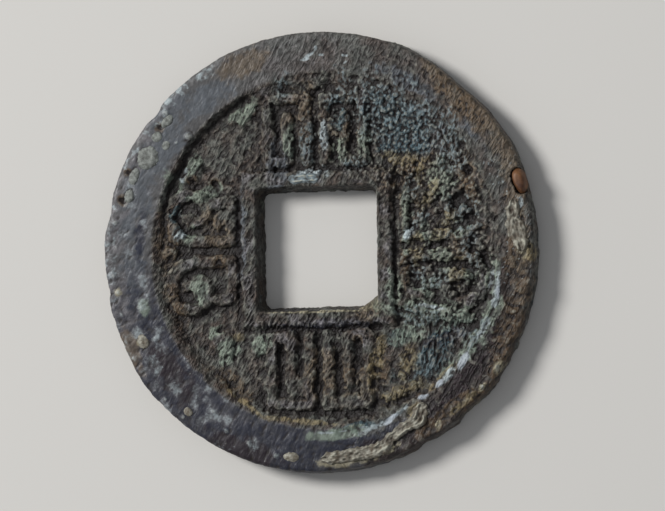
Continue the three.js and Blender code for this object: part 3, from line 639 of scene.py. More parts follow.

# Patches of minerals, and of painted sheen, shade and glints, seen from above: middle, half length,
# half width and lean in degrees
PATCHES = {
    # Slate grey; on the left rim it also paints a paler, bluer sheen, as the sky gives there
    "slate": (
        (-10.4, 3.2, 3.2, 0.9, 74), (-9.0, 5.8, 2.2, 0.9, 54), (-10.4, -1.6, 3.2, 0.6, 94),
        (-8.6, 7.8, 1.9, 0.7, 42), (-6.3, 8.6, 1.8, 0.7, 38), (-4.4, 1.0, 2.6, 0.3, 90),
        (5.0, 5.9, 1.8, 0.8, -8), (7.5, -4.6, 1.5, 0.5, 25), (-2.2, 5.1, 0.6, 2.2, -10),
        (5.2, 9.3, 2.0, 0.5, -30), (8.1, 7.3, 2.0, 0.35, -52),
    ),
    "ink": (
        (-9.7, -4.2, 2.0, 0.6, 118), (-7.4, -8.0, 3.2, 1.1, 134), (-3.6, -10.4, 3.2, 1.0, 160),
        (1.2, -10.6, 3.2, 0.6, 2), (-1.6, -10.7, 2.4, 0.8, 176), (4.4, -9.9, 1.8, 0.4, 24),
        (0.4, -4.05, 3.0, 0.3, 2), (6.7, -4.9, 1.3, 0.35, 28), (-10.2, 1.0, 1.6, 0.35, 84),
        (-2.6, -11.0, 3.4, 0.9, 168), (2.0, -10.9, 1.6, 0.4, 8),
    ),
    # Dark plum; on the lower right rim it is partly painted shade, where the rim slopes away from the
    # lamp
    "plum_and_shade": (
        (-8.4, -6.6, 2.2, 0.8, 128), (-4.4, -10.9, 2.3, 0.7, 160), (9.6, -5.0, 2.4, 0.6, 65),
        (6.3, -9.2, 2.0, 0.7, 36), (8.0, -7.4, 2.2, 0.6, 48), (3.4, -10.9, 1.8, 0.5, 14),
    ),
    "umber": (
        (10.4, -2.6, 2.2, 0.6, 84), (9.7, -5.4, 2.6, 0.7, 62), (8.3, -7.8, 3.0, 1.3, 48),
        (5.0, -11.0, 2.6, 0.8, 24), (10.4, -5.0, 2.4, 0.7, 64),
    ),
    "teal": (
        (4.6, -4.7, 0.8, 0.55, 20), (7.3, -4.1, 1.2, 0.4, 24), (6.1, -6.4, 2.1, 0.9, 32),
        (4.6, 5.75, 1.8, 0.5, -4), (2.4, -9.7, 1.5, 0.3, 10), (4.4, 7.2, 2.2, 1.3, -32),
        (-8.2, 2.2, 0.5, 0.35, 60), (1.1, 7.8, 0.5, 1.2, 0),
    ),
    "malachite": (
        (-10.0, -3.0, 0.5, 0.36, 110), (-7.5, 1.0, 0.65, 0.45, 50), (-7.2, 4.9, 0.7, 0.45, 60),
        (-3.3, -5.2, 0.7, 0.5, 40), (-5.9, -4.3, 0.5, 0.4, 30), (-5.2, -5.6, 0.9, 0.6, 40),
        (-6.8, -2.0, 0.9, 0.5, 100), (6.9, 3.9, 1.2, 0.9, 90), (5.0, 2.3, 0.3, 1.5, 0),
        (4.3, -2.2, 0.5, 0.9, 0), (6.5, -3.5, 2.8, 0.8, -6), (5.2, -4.4, 1.3, 0.7, 30),
        (9.85, -1.4, 1.1, 0.42, 84), (10.0, -2.9, 0.9, 0.5, 96), (9.3, -4.3, 1.1, 0.6, 64),
        (8.4, -5.5, 1.0, 0.5, 55), (7.3, -6.5, 0.7, 0.3, 48), (1.3, -10.05, 2.0, 0.3, 8),
        (-4.4, 7.8, 0.9, 0.55, 40), (-1.6, 6.2, 0.35, 1.2, 0), (8.0, 1.2, 0.7, 0.5, 60),
        (7.3, -0.6, 0.5, 0.9, 10), (5.9, 1.0, 0.4, 0.8, 0), (1.2, 5.6, 0.5, 0.9, 0),
        (2.6, 6.2, 0.4, 1.2, 0), (-8.3, 3.9, 0.4, 0.7, 20), (-6.4, 3.3, 0.9, 0.4, 20),
        (6.6, 0.4, 0.5, 0.8, 0), (8.6, -1.4, 0.6, 0.5, 0), (6.2, -1.9, 0.8, 0.5, 10),
        (5.0, 0.6, 0.3, 0.8, 0),
    ),
    "frost": (
        (3.6, 7.9, 2.6, 1.9, -20), (6.2, 6.9, 2.3, 1.4, -40), (7.5, 5.6, 1.2, 0.6, -60),
        (8.4, 0.4, 0.6, 0.5, 60), (5.3, 1.2, 0.7, 0.4, 40), (2.0, 4.9, 0.8, 0.4, 0),
        (-7.9, 1.1, 0.5, 0.4, 50), (-2.0, 9.2, 0.5, 0.8, 10), (0.9, 8.4, 0.6, 0.7, 0),
        (5.3, 3.6, 0.5, 0.7, 0), (7.6, 4.7, 0.8, 0.5, 0), (5.9, 2.0, 0.5, 0.4, 20),
        (6.0, -6.4, 1.4, 0.6, 35), (8.9, -4.6, 0.9, 0.5, 60), (7.4, 1.6, 1.4, 0.9, 80),
        (5.6, -0.9, 0.9, 0.6, 90), (8.7, -0.6, 0.7, 0.6, 90), (-0.6, 6.4, 1.4, 0.6, 80),
        (5.6, -3.7, 1.3, 0.7, 0), (8.3, 2.3, 0.9, 1.2, 0), (7.0, -1.6, 1.2, 0.5, 10),
    ),
    # Pale bloom spots, and painted glints along the lower right slope of the rim
    "bloom_and_glints": (
        (-0.45, 11.0, 0.34, 0.1, 30), (-0.15, 11.3, 0.16, 0.09, 80), (-0.8, 10.7, 0.26, 0.08, 10),
        (0.15, 10.95, 0.2, 0.07, 0), (1.5, 10.9, 0.2, 0.08, 0), (1.55, 10.5, 0.14, 0.07, 40),
        (-0.4, 4.35, 1.0, 0.3, 4), (-7.8, 4.4, 0.4, 0.22, 70), (-7.9, 1.0, 0.3, 0.25, 40),
        (0.3, 6.4, 0.25, 0.8, 0), (5.2, 1.1, 0.6, 0.22, 40), (8.8, 0.6, 0.4, 0.28, 60),
        (9.8, -1.6, 0.7, 0.16, 80), (9.95, -2.9, 0.5, 0.16, 96), (9.2, -4.6, 0.5, 0.16, 62),
        (7.35, -6.95, 0.7, 0.2, 50), (9.4, -4.4, 0.6, 0.2, 64), (4.7, -8.9, 0.6, 0.14, 38),
        (3.3, -9.7, 0.9, 0.18, 22), (10.15, -2.2, 0.9, 0.2, 86), (2.6, -9.75, 0.3, 0.07, 12),
        (1.5, -9.95, 0.3, 0.07, 8), (0.4, -10.05, 0.4, 0.07, 2), (-8.6, 8.5, 0.3, 0.16, 40),
        (-8.0, 9.1, 0.2, 0.12, 40), (-6.8, 9.85, 0.3, 0.14, 40), (-6.2, 10.25, 0.25, 0.12, 40),
        (11.5, 2.6, 0.26, 0.16, 90), (10.9, 1.65, 0.36, 0.16, 70), (6.4, -3.1, 0.9, 0.12, -12),
    ),
    # Painted glints on the lower right slope of the rim, and a few white specks on the right
    "glints_and_specks": (
        (8.2, -6.1, 0.5, 0.24, 54), (6.9, -7.35, 0.3, 0.14, 46), (5.95, -8.1, 0.34, 0.16, 24),
        (4.1, -9.35, 0.5, 0.14, 36), (10.2, -2.3, 0.4, 0.12, 86), (11.3, 1.8, 0.3, 0.08, 90),
    ),
    "ochre": (
        (4.8, 5.1, 1.5, 0.4, -6), (5.7, 4.4, 0.3, 0.8, 0), (6.2, 3.1, 0.9, 0.4, 60),
        (4.6, -7.8, 1.7, 0.5, 24), (7.2, -6.9, 1.2, 0.25, 42), (5.0, -6.3, 0.5, 1.3, -10),
        (-0.8, -9.4, 2.3, 0.16, -6), (-4.0, -8.5, 1.2, 0.14, -36), (-4.6, -4.7, 0.35, 0.3, 0),
        (5.5, -8.9, 0.7, 0.5, 60), (3.3, -5.9, 0.4, 1.6, -10), (8.2, -8.5, 1.0, 0.22, 40),
        (7.0, 1.2, 1.2, 0.5, 70), (5.6, 0.2, 0.4, 1.2, 0), (7.9, -1.0, 0.5, 0.9, 0),
        (12.0, -0.1, 0.5, 0.4, 90),
    ),
    "tan": (
        (5.6, 4.2, 2.4, 1.1, 0), (5.1, 2.9, 0.9, 1.4, 0), (8.3, 4.0, 0.7, 1.6, 10),
        (7.0, 9.6, 1.3, 0.7, -50), (8.9, 7.8, 2.2, 0.9, -52), (10.7, 5.2, 2.0, 0.7, -66),
        (11.2, 2.4, 1.8, 0.6, 90), (0.5, -6.7, 1.4, 1.6, 0), (2.9, -7.2, 1.0, 1.2, 0),
        (-4.4, 10.5, 1.6, 0.7, 24), (-8.6, 0.4, 0.7, 1.6, 0), (-1.1, 7.6, 1.2, 1.7, 0),
        (1.4, 7.0, 1.0, 1.9, 0), (-10.7, -5.3, 1.3, 0.5, 118), (2.9, -3.3, 0.7, 0.5, 30),
        (-5.9, 0.9, 0.8, 1.8, 20), (8.0, 0.4, 1.2, 2.2, 0),
    ),
    "cuprite": (
        (11.0, -3.8, 2.8, 0.8, 72), (10.4, -6.3, 1.6, 0.45, 56), (9.0, -8.2, 1.2, 0.3, 44),
        (7.9, -8.3, 1.4, 0.2, 32), (9.9, -6.5, 0.6, 0.25, 60), (6.6, -9.6, 1.2, 0.4, 34),
        (11.3, -0.4, 2.0, 0.7, 90), (5.0, 3.9, 1.5, 0.7, 0), (4.9, -0.4, 0.35, 2.2, 0),
        (8.6, 3.4, 0.5, 1.2, 20), (7.9, 8.2, 1.8, 0.8, -50), (3.4, -6.4, 0.4, 1.2, 0),
        (-5.0, -7.2, 1.6, 0.5, -40), (-8.2, -2.6, 0.5, 1.2, 20),
    ),
    "lime": (
        (-0.2, -3.32, 3.1, 0.06, 1), (10.25, -6.5, 0.4, 0.3, 60), (9.3, -7.6, 0.3, 0.2, 50),
        (5.6, -9.1, 0.5, 0.28, 80), (6.8, -9.65, 0.3, 0.16, 80), (1.6, -11.6, 1.8, 0.3, 6),
        (4.0, -10.9, 0.8, 0.25, 26), (11.5, 0.6, 0.9, 0.35, 96), (-10.0, -4.9, 0.3, 0.3, 0),
        (-11.4, -2.15, 0.3, 0.22, 90),
    ),
}

from_top = np.where(on_obverse, 0, rim_top - points[:, 2])
side_points = np.column_stack((x, y, from_top))
torn = waves(side_points, (0.5, 0.9, 51), (0.35, 0.35, 52))


def cover(patches):
    """How much of each point lies in the patches, from 0 to 1, with torn edges."""
    most = np.zeros(len(points))
    for px, py, length, width, lean in patches:
        away = in_oval(x, y, (px, py), 2 * length, 2 * width, lean) + torn
        most = np.maximum(most, smooth(1.5, 0.5, away))
    return most


# Each mineral's patches where the view from above doesn't reach: size, seed and strength
minerals = {}
for label, size, seed, strength in (
    ("slate", 2.6, 61, 1.0),
    ("ink", 2.4, 69, 1.0),
    ("umber", 2.4, 70, 1.0),
    ("plum_and_shade", 2.2, 62, 1.0),
    ("teal", 1.6, 63, 0.8),
    ("malachite", 1.1, 64, 0.7),
    ("bloom_and_glints", 0.6, 65, 0.45),
    ("ochre", 1.3, 66, 0.6),
    ("tan", 2.0, 67, 1.0),
    ("lime", 1.4, 73, 0.45),
    ("frost", 1.4, 76, 0.7),
    ("cuprite", 1.8, 77, 1.0),
    ("glints_and_specks", 0.5, 78, 0.0),
):
    elsewhere = strength * smooth(0.25, 0.65, grain(points, size, seed) + 0.5 * torn)
    minerals[label] = seen_above * cover(PATCHES[label]) + (1 - seen_above) * elsewhere
minerals["lime"] = np.where(on_fin, 0.7 + 0.6 * torn, minerals["lime"])
minerals["frost"] *= smooth(-0.6, 0.5, stands_out)
minerals["cuprite"] = np.maximum(minerals["cuprite"], rusty)
lower_rim = towards(233, 0.45, 0.85) * rim_land * (0.85 + 0.3 * torn)
minerals["ink"] = np.maximum(minerals["ink"], lower_rim * seen_above)

# Ash grey on the streaked outer half of the left rim, the worn tops of the ornament, the top rim
# and, mottled, the lower left rim. Pale bloom in small spots on the rim, most of all at lower left
# and on the swellings, with painted glints along the left outer edge and the lower right slope.
slanted = np.column_stack(((x + y) / 3, y - x, points[:, 2]))
streaky = 0.6 + 0.4 * grain(slanted, 0.34, 71)
outer_left = towards(176, 0.62, 0.9) * smooth(10.9, 11.25, radius + 0.6 * torn)
stands_up = smooth(0.12, 0.27, np.maximum(field, hole_rim * FIELD_DEPTH)) * (1 - rim) * on_obverse
worn_tops = stands_up * smooth(-0.35, 0.45, grain(flat_points, 0.9, 75))
top_rim = 0.35 * towards(94, 0.93, 0.99) * rim_land
minerals["ash"] = np.maximum(np.clip(outer_left * streaky, 0, 1), 0.75 * worn_tops)
minerals["ash"] = np.maximum(minerals["ash"], top_rim) * seen_above
lower_left = towards(205, 0.4, 0.85) * rim_land
blotches = grain(points, 0.8, 72) + 0.25 * grain(slanted, 0.3, 82)
mottles = lower_left * np.clip(0.3 + 0.8 * blotches, 0, 0.8) * seen_above
minerals["ash"] = np.maximum(minerals["ash"], mottles)
# Painted highlight: pale specks along the left outer edge, which faces the lamp
left_edge = towards(156, 0.7, 0.9) * smooth(11.3, 11.75, radius + 0.5 * torn)
left_edge_glints = 0.65 * left_edge * smooth(0.05, 0.45, grain(points, 0.28, 68))
denser = 0.1 * towards(185, 0.85, 0.97) + 0.16 * towards(222, 0.9, 0.98)
spotted = lower_left * np.clip(0.85 * blotches - 0.04 + denser, 0, 0.65)
right_specks = towards(10, 0.86, 0.97) * rim_land * smooth(0.46, 0.62, grain(points, 0.16, 74))
for extra in (left_edge_glints, spotted, 0.8 * right_specks, 0.55 * swollen):
    minerals["bloom_and_glints"] = np.maximum(minerals["bloom_and_glints"], extra * seen_above)


def ring_mesh(name, places, around, up):
    """A closed mesh from a grid of points that wraps both ways."""
    here = np.arange(up * around).reshape(up, around)
    next_column = np.roll(here, -1, axis=1)
    next_row = np.roll(here, -1, axis=0)
    corner = np.roll(next_row, -1, axis=1)
    faces = np.stack((here, next_row, corner, next_column), axis=-1).reshape(-1, 4)
    mesh = bpy.data.meshes.new(name)
    mesh.vertices.add(len(places))
    mesh.vertices.foreach_set("co", (places * MM).astype(np.float32).reshape(-1))
    mesh.loops.add(faces.size)
    mesh.loops.foreach_set("vertex_index", faces.reshape(-1).astype(np.int32))
    mesh.polygons.add(len(faces))
    mesh.polygons.foreach_set("loop_start", np.arange(0, faces.size, 4, dtype=np.int32))
    mesh.update(calc_edges=True)
    mesh.polygons.foreach_set("use_smooth", np.ones(len(faces), dtype=bool))
    return mesh


coin_mesh = ring_mesh("coin_bronze", shaped, COLUMNS, row_count)

# Map for baked textures: the obverse in a large square, the reverse in a small one beside it, and
# the hole's wall and the coin's edge unrolled above them
OBVERSE_SQUARE = (0.005, 0.005, 0.74)
REVERSE_SQUARE = (0.752, 0.005, 0.24)
HOLE_STRIP = (0.77, 0.09)
EDGE_STRIP = (0.88, 0.07)
face_row, face_column = np.divmod(np.arange(row_count * COLUMNS), COLUMNS)
corner_row = face_row[:, None] + np.array((0, 1, 1, 0))
corner_column = face_column[:, None] + np.array((0, 0, 1, 1))
spot = points[(corner_row % row_count) * COLUMNS + corner_column % COLUMNS]
across_coin = spot[..., :2] / (2.04 * coin_radius) + 0.5
edge_starts = WALL_ROWS + EDGE_STEPS + OBVERSE_ROWS + ROUNDING_ROWS - 2
edge_ends = edge_starts + OUTER_ROWS - 1
left, bottom, side = OBVERSE_SQUARE
bake_at = across_coin * side + (left, bottom)
left, bottom, side = REVERSE_SQUARE
on_back = (face_row >= edge_ends)[:, None, None]
bake_at = np.where(on_back, (across_coin * (-1, 1) + (1, 0)) * side + (left, bottom), bake_at)
unrolled = corner_column / COLUMNS
bottom, tall = EDGE_STRIP
strip = np.stack((unrolled, bottom + tall * (corner_row - edge_starts) / (OUTER_ROWS - 1)), axis=-1)
on_outer = ((face_row >= edge_starts) & (face_row < edge_ends))[:, None, None]
bake_at = np.where(on_outer, strip, bake_at)
bottom, tall = HOLE_STRIP
wall_row = np.where(corner_row >= row_count - 1, corner_row - row_count, corner_row)
strip = np.stack((unrolled, bottom + tall * (wall_row + 1) / WALL_ROWS), axis=-1)
on_wall = ((face_row < WALL_ROWS - 1) | (face_row == row_count - 1))[:, None, None]
bake_at = np.where(on_wall, strip, bake_at)
bake_map = coin_mesh.uv_layers.new(name="OFBake")
bake_map.data.foreach_set("uv", bake_at.astype(np.float32).reshape(-1))


def mark(mesh, name, values):
    """Gives each point of a mesh a value that its material reads."""
    attribute = mesh.attributes.new(name, "FLOAT", "POINT")
    attribute.data.foreach_set("value", np.asarray(values, dtype=np.float32))


def dress(name, mesh, node, material):
    """Puts a mesh in the scene in place of its node."""
    mesh.materials.append(material)
    piece = bpy.data.objects.new(name, mesh)
    bpy.context.collection.objects.link(piece)
    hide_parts(node)
    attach(piece, "root")


def linear(hex_colour):
    """A colour written as sRGB hex, as linear red, green, blue and alpha."""
    parts = [int(hex_colour[i : i + 2], 16) / 255 for i in (1, 3, 5)]
    return [p / 12.92 if p <= 0.04045 else ((p + 0.055) / 1.055) ** 2.4 for p in parts] + [1]


def add(tree, kind, inputs=None, **settings):
    """Adds a node with its settings. Each input is linked if it is a socket, and set if not."""
    node = tree.nodes.new(kind)
    for field_name, value in settings.items():
        setattr(node, field_name, value)
    for key, value in (inputs or {}).items():
        if isinstance(value, bpy.types.NodeSocket):
            tree.links.new(value, node.inputs[key])
        else:
            node.inputs[key].default_value = value
    return node


def new_material(name):
    """A material with its tree, its shader, and each point's place on the piece in mm."""
    material = bpy.data.materials.new(name)
    material.use_nodes = True
    tree = material.node_tree
    place = add(tree, "ShaderNodeTexCoord").outputs["Object"]
    in_mm = add(tree, "ShaderNodeVectorMath", {0: place, 1: (1 / MM,) * 3}, operation="MULTIPLY")
    return material, tree, tree.nodes["Principled BSDF"], in_mm.outputs[0]


for label, values in (("stands_out", stands_out), ("sunk", sunk), ("rubbed", rubbed),
                      ("polish", polish), *minerals.items()):
    mark(coin_mesh, label, values)

# Buried bronze: dull brown-grey patina over the metal, near black in its hollows, partly as soil
# and partly as painted shade, with minerals and painted sheen, shade and glints in patches. Where it
# is rubbed it is slate grey and takes a soft sheen.
bronze, tree, shader, in_mm = new_material("buried_bronze")

# Sizes in mm of stains, mottles, worms and specks. The real specks are single crystals, too fine
# to show, so they are drawn coarser.
STAIN_SIZE = 1.4
MOTTLE_SIZE = 0.34
WORM_SIZE = 0.3
SPECK_SIZE = 0.13
WORM_LEAN = math.radians(-62)
WORM_STRETCH = (0.35, 1, 1)
along_worms = add(tree, "ShaderNodeMapping", {"Vector": in_mm, "Rotation": (0, 0, WORM_LEAN)})
stretched = add(tree, "ShaderNodeVectorMath", {
    0: along_worms.outputs[0], 1: WORM_STRETCH}, operation="MULTIPLY").outputs[0]
stains, mottle, specks, worm_noise = (
    add(tree, "ShaderNodeTexNoise", {
        "Vector": where, "Scale": 1 / size, "Detail": detail, "Roughness": fuzz}).outputs["Fac"]
    for where, size, detail, fuzz in (
        (in_mm, STAIN_SIZE, 4.0, 0.6),
        (in_mm, MOTTLE_SIZE, 4.0, 0.65),
        (in_mm, SPECK_SIZE, 3.0, 0.6),
        (stretched, WORM_SIZE, 2.0, 0.5),
    ))
# Worm-like ridges run where their noise crosses its middle value
from_crest = add(tree, "ShaderNodeMath", {0: worm_noise, 1: 0.5}, operation="SUBTRACT")
from_crest = add(tree, "ShaderNodeMath", {0: from_crest.outputs[0]}, operation="ABSOLUTE")
ridge = add(tree, "ShaderNodeMapRange", {
    "Value": from_crest.outputs[0], "From Min": 0.13, "From Max": 0.0}).outputs[0]

# Sockets of a colour mix: how much of the second colour, the two colours, and the result
SHARE, UNDER, OVER = 0, 6, 7
MIXED = 2
spread = add(tree, "ShaderNodeMapRange", {
    "Value": stains, "From Min": 0.38, "From Max": 0.62}, interpolation_type="SMOOTHSTEP")
colour = add(tree, "ShaderNodeMix", {
    SHARE: spread.outputs[0], UNDER: linear("#473d36"), OVER: linear("#555650")},
    data_type="RGBA").outputs[MIXED]
worn = add(tree, "ShaderNodeAttribute", attribute_name="rubbed").outputs["Fac"]
colour = add(tree, "ShaderNodeMix", {
    SHARE: worn, UNDER: colour, OVER: linear("#535252")}, data_type="RGBA").outputs[MIXED]

speckle = add(tree, "ShaderNodeMath", {0: mottle, 1: specks}, operation="ADD").outputs[0]
# Each mineral or painted light: its attribute, its colour, and how much of the ground it hides
LAYERS = (
    # Slate is partly painted sheen on the left rim
    ("slate", "#53585e", 0.8),
    ("ink", "#1d202f", 0.9),
    ("ash", "#6b686a", 0.8),
    ("tan", "#635441", 0.65),
    ("umber", "#2c1f1a", 0.85),
    # Plum is partly painted shade on the lower right rim
    ("plum_and_shade", "#22171c", 0.85),
    ("cuprite", "#54432f", 0.75),
    ("teal", "#243f47", 0.8),
    ("malachite", "#7a8577", 0.75),
    ("frost", "#647175", 0.8),
    ("ochre", "#7a6d4f", 0.7),
    ("lime", "#8f8871", 0.85),
    # Bloom also carries painted glints
    ("bloom_and_glints", "#98a2a4", 0.85),
)


def laid_over(ground, label, shade, strength):
    """The ground with one mineral over it, broken up by the speckle."""
    amount = add(tree, "ShaderNodeAttribute", attribute_name=label).outputs["Fac"]
    broken = add(tree, "ShaderNodeMath", {0: speckle, 1: 0.9, 2: amount}, operation="MULTIPLY_ADD")
    share = add(tree, "ShaderNodeMapRange", {
        "Value": broken.outputs[0], "From Min": 1.1, "From Max": 1.9, "To Max": strength},
        interpolation_type="SMOOTHSTEP")
    return add(tree, "ShaderNodeMix", {
        SHARE: share.outputs[0], UNDER: ground, OVER: linear(shade)},
        data_type="RGBA").outputs[MIXED]


for layer in LAYERS:
    colour = laid_over(colour, *layer)

# Dark in the fine pores, pale on the fine crests, and less of both where it is rubbed: the tone
# follows the noises that bump the worms and mottles, so it is painted shade and painted highlight
unworn = add(tree, "ShaderNodeMath", {0: worn, 1: -0.85, 2: 1.0}, operation="MULTIPLY_ADD").outputs[0]
mottled = add(tree, "ShaderNodeMath", {0: unworn, 1: 0.5, 2: 0.5}, operation="MULTIPLY_ADD").outputs[0]
for amount, pattern in (
    (unworn, {"Value": ridge, "To Min": 0.55, "To Max": 1.6}),
    (mottled, {"Value": mottle, "From Min": 0.35, "From Max": 0.65, "To Min": 0.65, "To Max": 1.35}),
):
    tone = add(tree, "ShaderNodeMapRange", pattern).outputs[0]
    colour = add(tree, "ShaderNodeMix", {
        SHARE: amount, UNDER: colour, OVER: tone},
        data_type="RGBA", blend_type="MULTIPLY").outputs[MIXED]

# Pale where the surface stands out of what is round it, brown where it lies back, and dark in the
# deeper hollows: partly rubbed crests and dirt, partly painted highlight and painted shade
out = add(tree, "ShaderNodeAttribute", attribute_name="stands_out").outputs["Fac"]
crest = add(tree, "ShaderNodeMath", {0: specks, 1: 1.6, 2: out}, operation="MULTIPLY_ADD").outputs[0]
low = add(tree, "ShaderNodeAttribute", attribute_name="sunk").outputs["Fac"]
for pattern, shade in (
    ({"Value": crest, "From Min": 1.3, "From Max": 3.1, "To Max": 0.5}, "#a3a194"),
    ({"Value": out, "From Min": -0.1, "From Max": -0.8, "To Max": 0.9}, "#211a17"),
    ({"Value": low, "From Min": 0.15, "From Max": 1.0, "To Max": 0.92}, "#191210"),
):
    amount = add(tree, "ShaderNodeMapRange", pattern).outputs[0]
    colour = add(tree, "ShaderNodeMix", {
        SHARE: amount, UNDER: colour, OVER: linear(shade)}, data_type="RGBA").outputs[MIXED]
# Painted glints and a few white specks lie on top of the dirt and painted shade, so they stay whole
colour = laid_over(colour, "glints_and_specks", "#b6bec6", 0.8)
tree.links.new(colour, shader.inputs["Base Color"])

gloss = add(tree, "ShaderNodeMapRange", {
    "Value": mottle, "From Min": 0.3, "From Max": 0.7, "To Min": 0.68, "To Max": 0.45}).outputs[0]
gloss = add(tree, "ShaderNodeMath", {0: worn, 1: -0.06, 2: gloss}, operation="MULTIPLY_ADD").outputs[0]
shine = add(tree, "ShaderNodeAttribute", attribute_name="polish").outputs["Fac"]
gloss = add(tree, "ShaderNodeMath", {0: shine, 1: -0.22, 2: gloss}, operation="MULTIPLY_ADD").outputs[0]
tree.links.new(gloss, shader.inputs["Roughness"])
shader.inputs["Specular IOR Level"].default_value = 0.4

# Worms, mottles and specks also stand out, by less than the mesh can carry
below = {}
for height, depth in ((ridge, 0.05), (mottle, 0.1), (specks, 0.045)):
    bump = add(tree, "ShaderNodeBump", {
        "Height": height, "Strength": unworn, "Distance": depth * MM, **below})
    below = {"Normal": bump.outputs[0]}
tree.links.new(bump.outputs[0], shader.inputs["Normal"])
dress("coin_bronze", coin_mesh, "coin_casting", bronze)

# Blisters: copper carbonate that pushed up through the patina of the left rim in low domes and
# sits on the bronze by itself. The larger ones have burst to the left of their middle.
# Name, degrees, distance in from the rim's flat, length, width, height and how far it has burst
BLISTERS = (
    ("blister_large", 151.2, 0.77, 1.34, 1.22, 0.13, 0.35),
    ("blister_upper_inner", 144.8, 0.58, 0.62, 0.56, 0.06, 0.0),
    ("blister_upper_small", 145.2, 1.28, 0.5, 0.46, 0.05, 0.0),
    ("blister_upper_long", 139.4, 0.5, 0.85, 0.5, 0.09, 0.3),
    ("blister_left_long", 157.6, 0.5, 1.0, 0.55, 0.09, 0.2),
    ("blister_left", 163.4, 0.6, 0.8, 0.55, 0.11, 0.3),
)
# Section of a dome: share of its outline at each share of its height
DOME = ((1.0, 0.0), (0.95, 0.2), (0.89, 0.4), (0.82, 0.57), (0.73, 0.7), (0.62, 0.8), (0.5, 0.87),
        (0.37, 0.91), (0.24, 0.93), (0.12, 0.94), (0.03, 0.94))
BLISTER_GRAIN = 0.22
BLISTER_TONES = ((0.36, "#5b5d57"), (0.5, "#797c77"), (0.66, "#959992"))
# How far the foot of each deposit goes down into the bronze
SUNK_BELOW = 0.14
LUMP_STEPS = 72


def skin(name, rings):
    """A closed mesh over a row of rings of points, with one face across each end."""
    around = len(rings[0])
    places = [tuple(place * MM) for ring in rings for place in ring]
    faces = [tuple(range(around)), tuple(range(len(places) - around, len(places)))]
    for ring, column in itertools.product(range(len(rings) - 1), range(around)):
        beside = (column + 1) % around
        here, above = ring * around, (ring + 1) * around
        faces.append((here + column, here + beside, above + beside, above + column))
    mesh = bpy.data.meshes.new(name)
    mesh.from_pydata(places, [], faces)
    mesh.update()
    shape = bmesh.new()
    shape.from_mesh(mesh)
    bmesh.ops.recalc_face_normals(shape, faces=shape.faces)
    shape.to_mesh(mesh)
    shape.free()
    mesh.polygons.foreach_set("use_smooth", np.ones(len(mesh.polygons), dtype=bool))
    return mesh


def lump_rings(middle, turn, length, width, section, height, seed, swells):
    """Rings from under the bronze up to the top of a low lump with an uneven outline."""
    turns = np.arange(LUMP_STEPS) * 2 * np.pi / LUMP_STEPS
    outline = np.column_stack((np.cos(turns) * length / 2, np.sin(turns) * width / 2))
    cos, sin = math.cos(turn), math.sin(turn)
    outline = outline @ np.array(((cos, sin), (-sin, cos)))
    ring_points = np.column_stack((outline + middle, np.zeros(LUMP_STEPS)))
    uneven = 1 + 0.14 * grain(ring_points, 0.45, seed) + 0.1 * grain(ring_points, 0.16, seed + 50)
    rings = []
    profile = [(1.0, -SUNK_BELOW), *((share, part * height) for share, part in section)]
    for share, rise in profile:
        flat = outline * (share * uneven)[:, None] + middle
        spots = np.column_stack((flat, np.zeros(LUMP_STEPS)))
        rough_top = waves(spots, *((depth, width, seed + 1) for depth, width in swells))
        rings.append(np.column_stack((flat, rim_top + rise + rough_top * (rise > 0))))
    return rings


def on_rim(degrees, inset):
    """A point of the rim from its direction and its distance from the outer edge of the flat."""
    reach = coin_radius - EDGE_ROUNDING - inset
    turn = math.radians(degrees)
    return np.array((reach * math.cos(turn), reach * math.sin(turn)))


def mineral(name, grain_size, tones, detail, fuzz, roughness, pores, pore_depth):
    """A dull mineral whose grains run through a few tones, with its tree, shader and tint."""
    material, tree, shader, in_mm = new_material(name)
    grains = add(tree, "ShaderNodeTexNoise", {
        "Vector": in_mm, "Scale": 1 / grain_size, "Detail": detail, "Roughness": fuzz}).outputs["Fac"]
    tint = add(tree, "ShaderNodeValToRGB", {"Fac": grains})
    stops = tint.color_ramp.elements
    stops[0].position = tones[0][0]
    stops[1].position = tones[-1][0]
    for position, _ in tones[1:-1]:
        stops.new(position)
    for stop, (_, shade) in zip(stops, tones):
        stop.color = linear(shade)
    shader.inputs["Roughness"].default_value = roughness
    bump = add(tree, "ShaderNodeBump", {
        "Height": grains, "Strength": pores, "Distance": pore_depth * MM})
    tree.links.new(bump.outputs[0], shader.inputs["Normal"])
    return material, tree, shader, tint.outputs["Color"]


def where_marked(tree, ground, label, shade):
    """The ground, with a colour over it as far as each point is marked."""
    amount = add(tree, "ShaderNodeAttribute", attribute_name=label).outputs["Fac"]
    return add(tree, "ShaderNodeMix", {
        SHARE: amount, UNDER: ground, OVER: linear(shade)}, data_type="RGBA").outputs[MIXED]


# Copper carbonate: dull and chalky, speckled grey and straw, with dark brown in its burst tops,
# partly soil and partly painted shade
blister_grey, tree, shader, tint = mineral(
    "blister_carbonate", BLISTER_GRAIN, BLISTER_TONES,
    detail=4.0, fuzz=0.65, roughness=0.7, pores=0.5, pore_depth=0.05)
soiled = where_marked(tree, tint, "hollows", "#2c241e")
tree.links.new(soiled, shader.inputs["Base Color"])

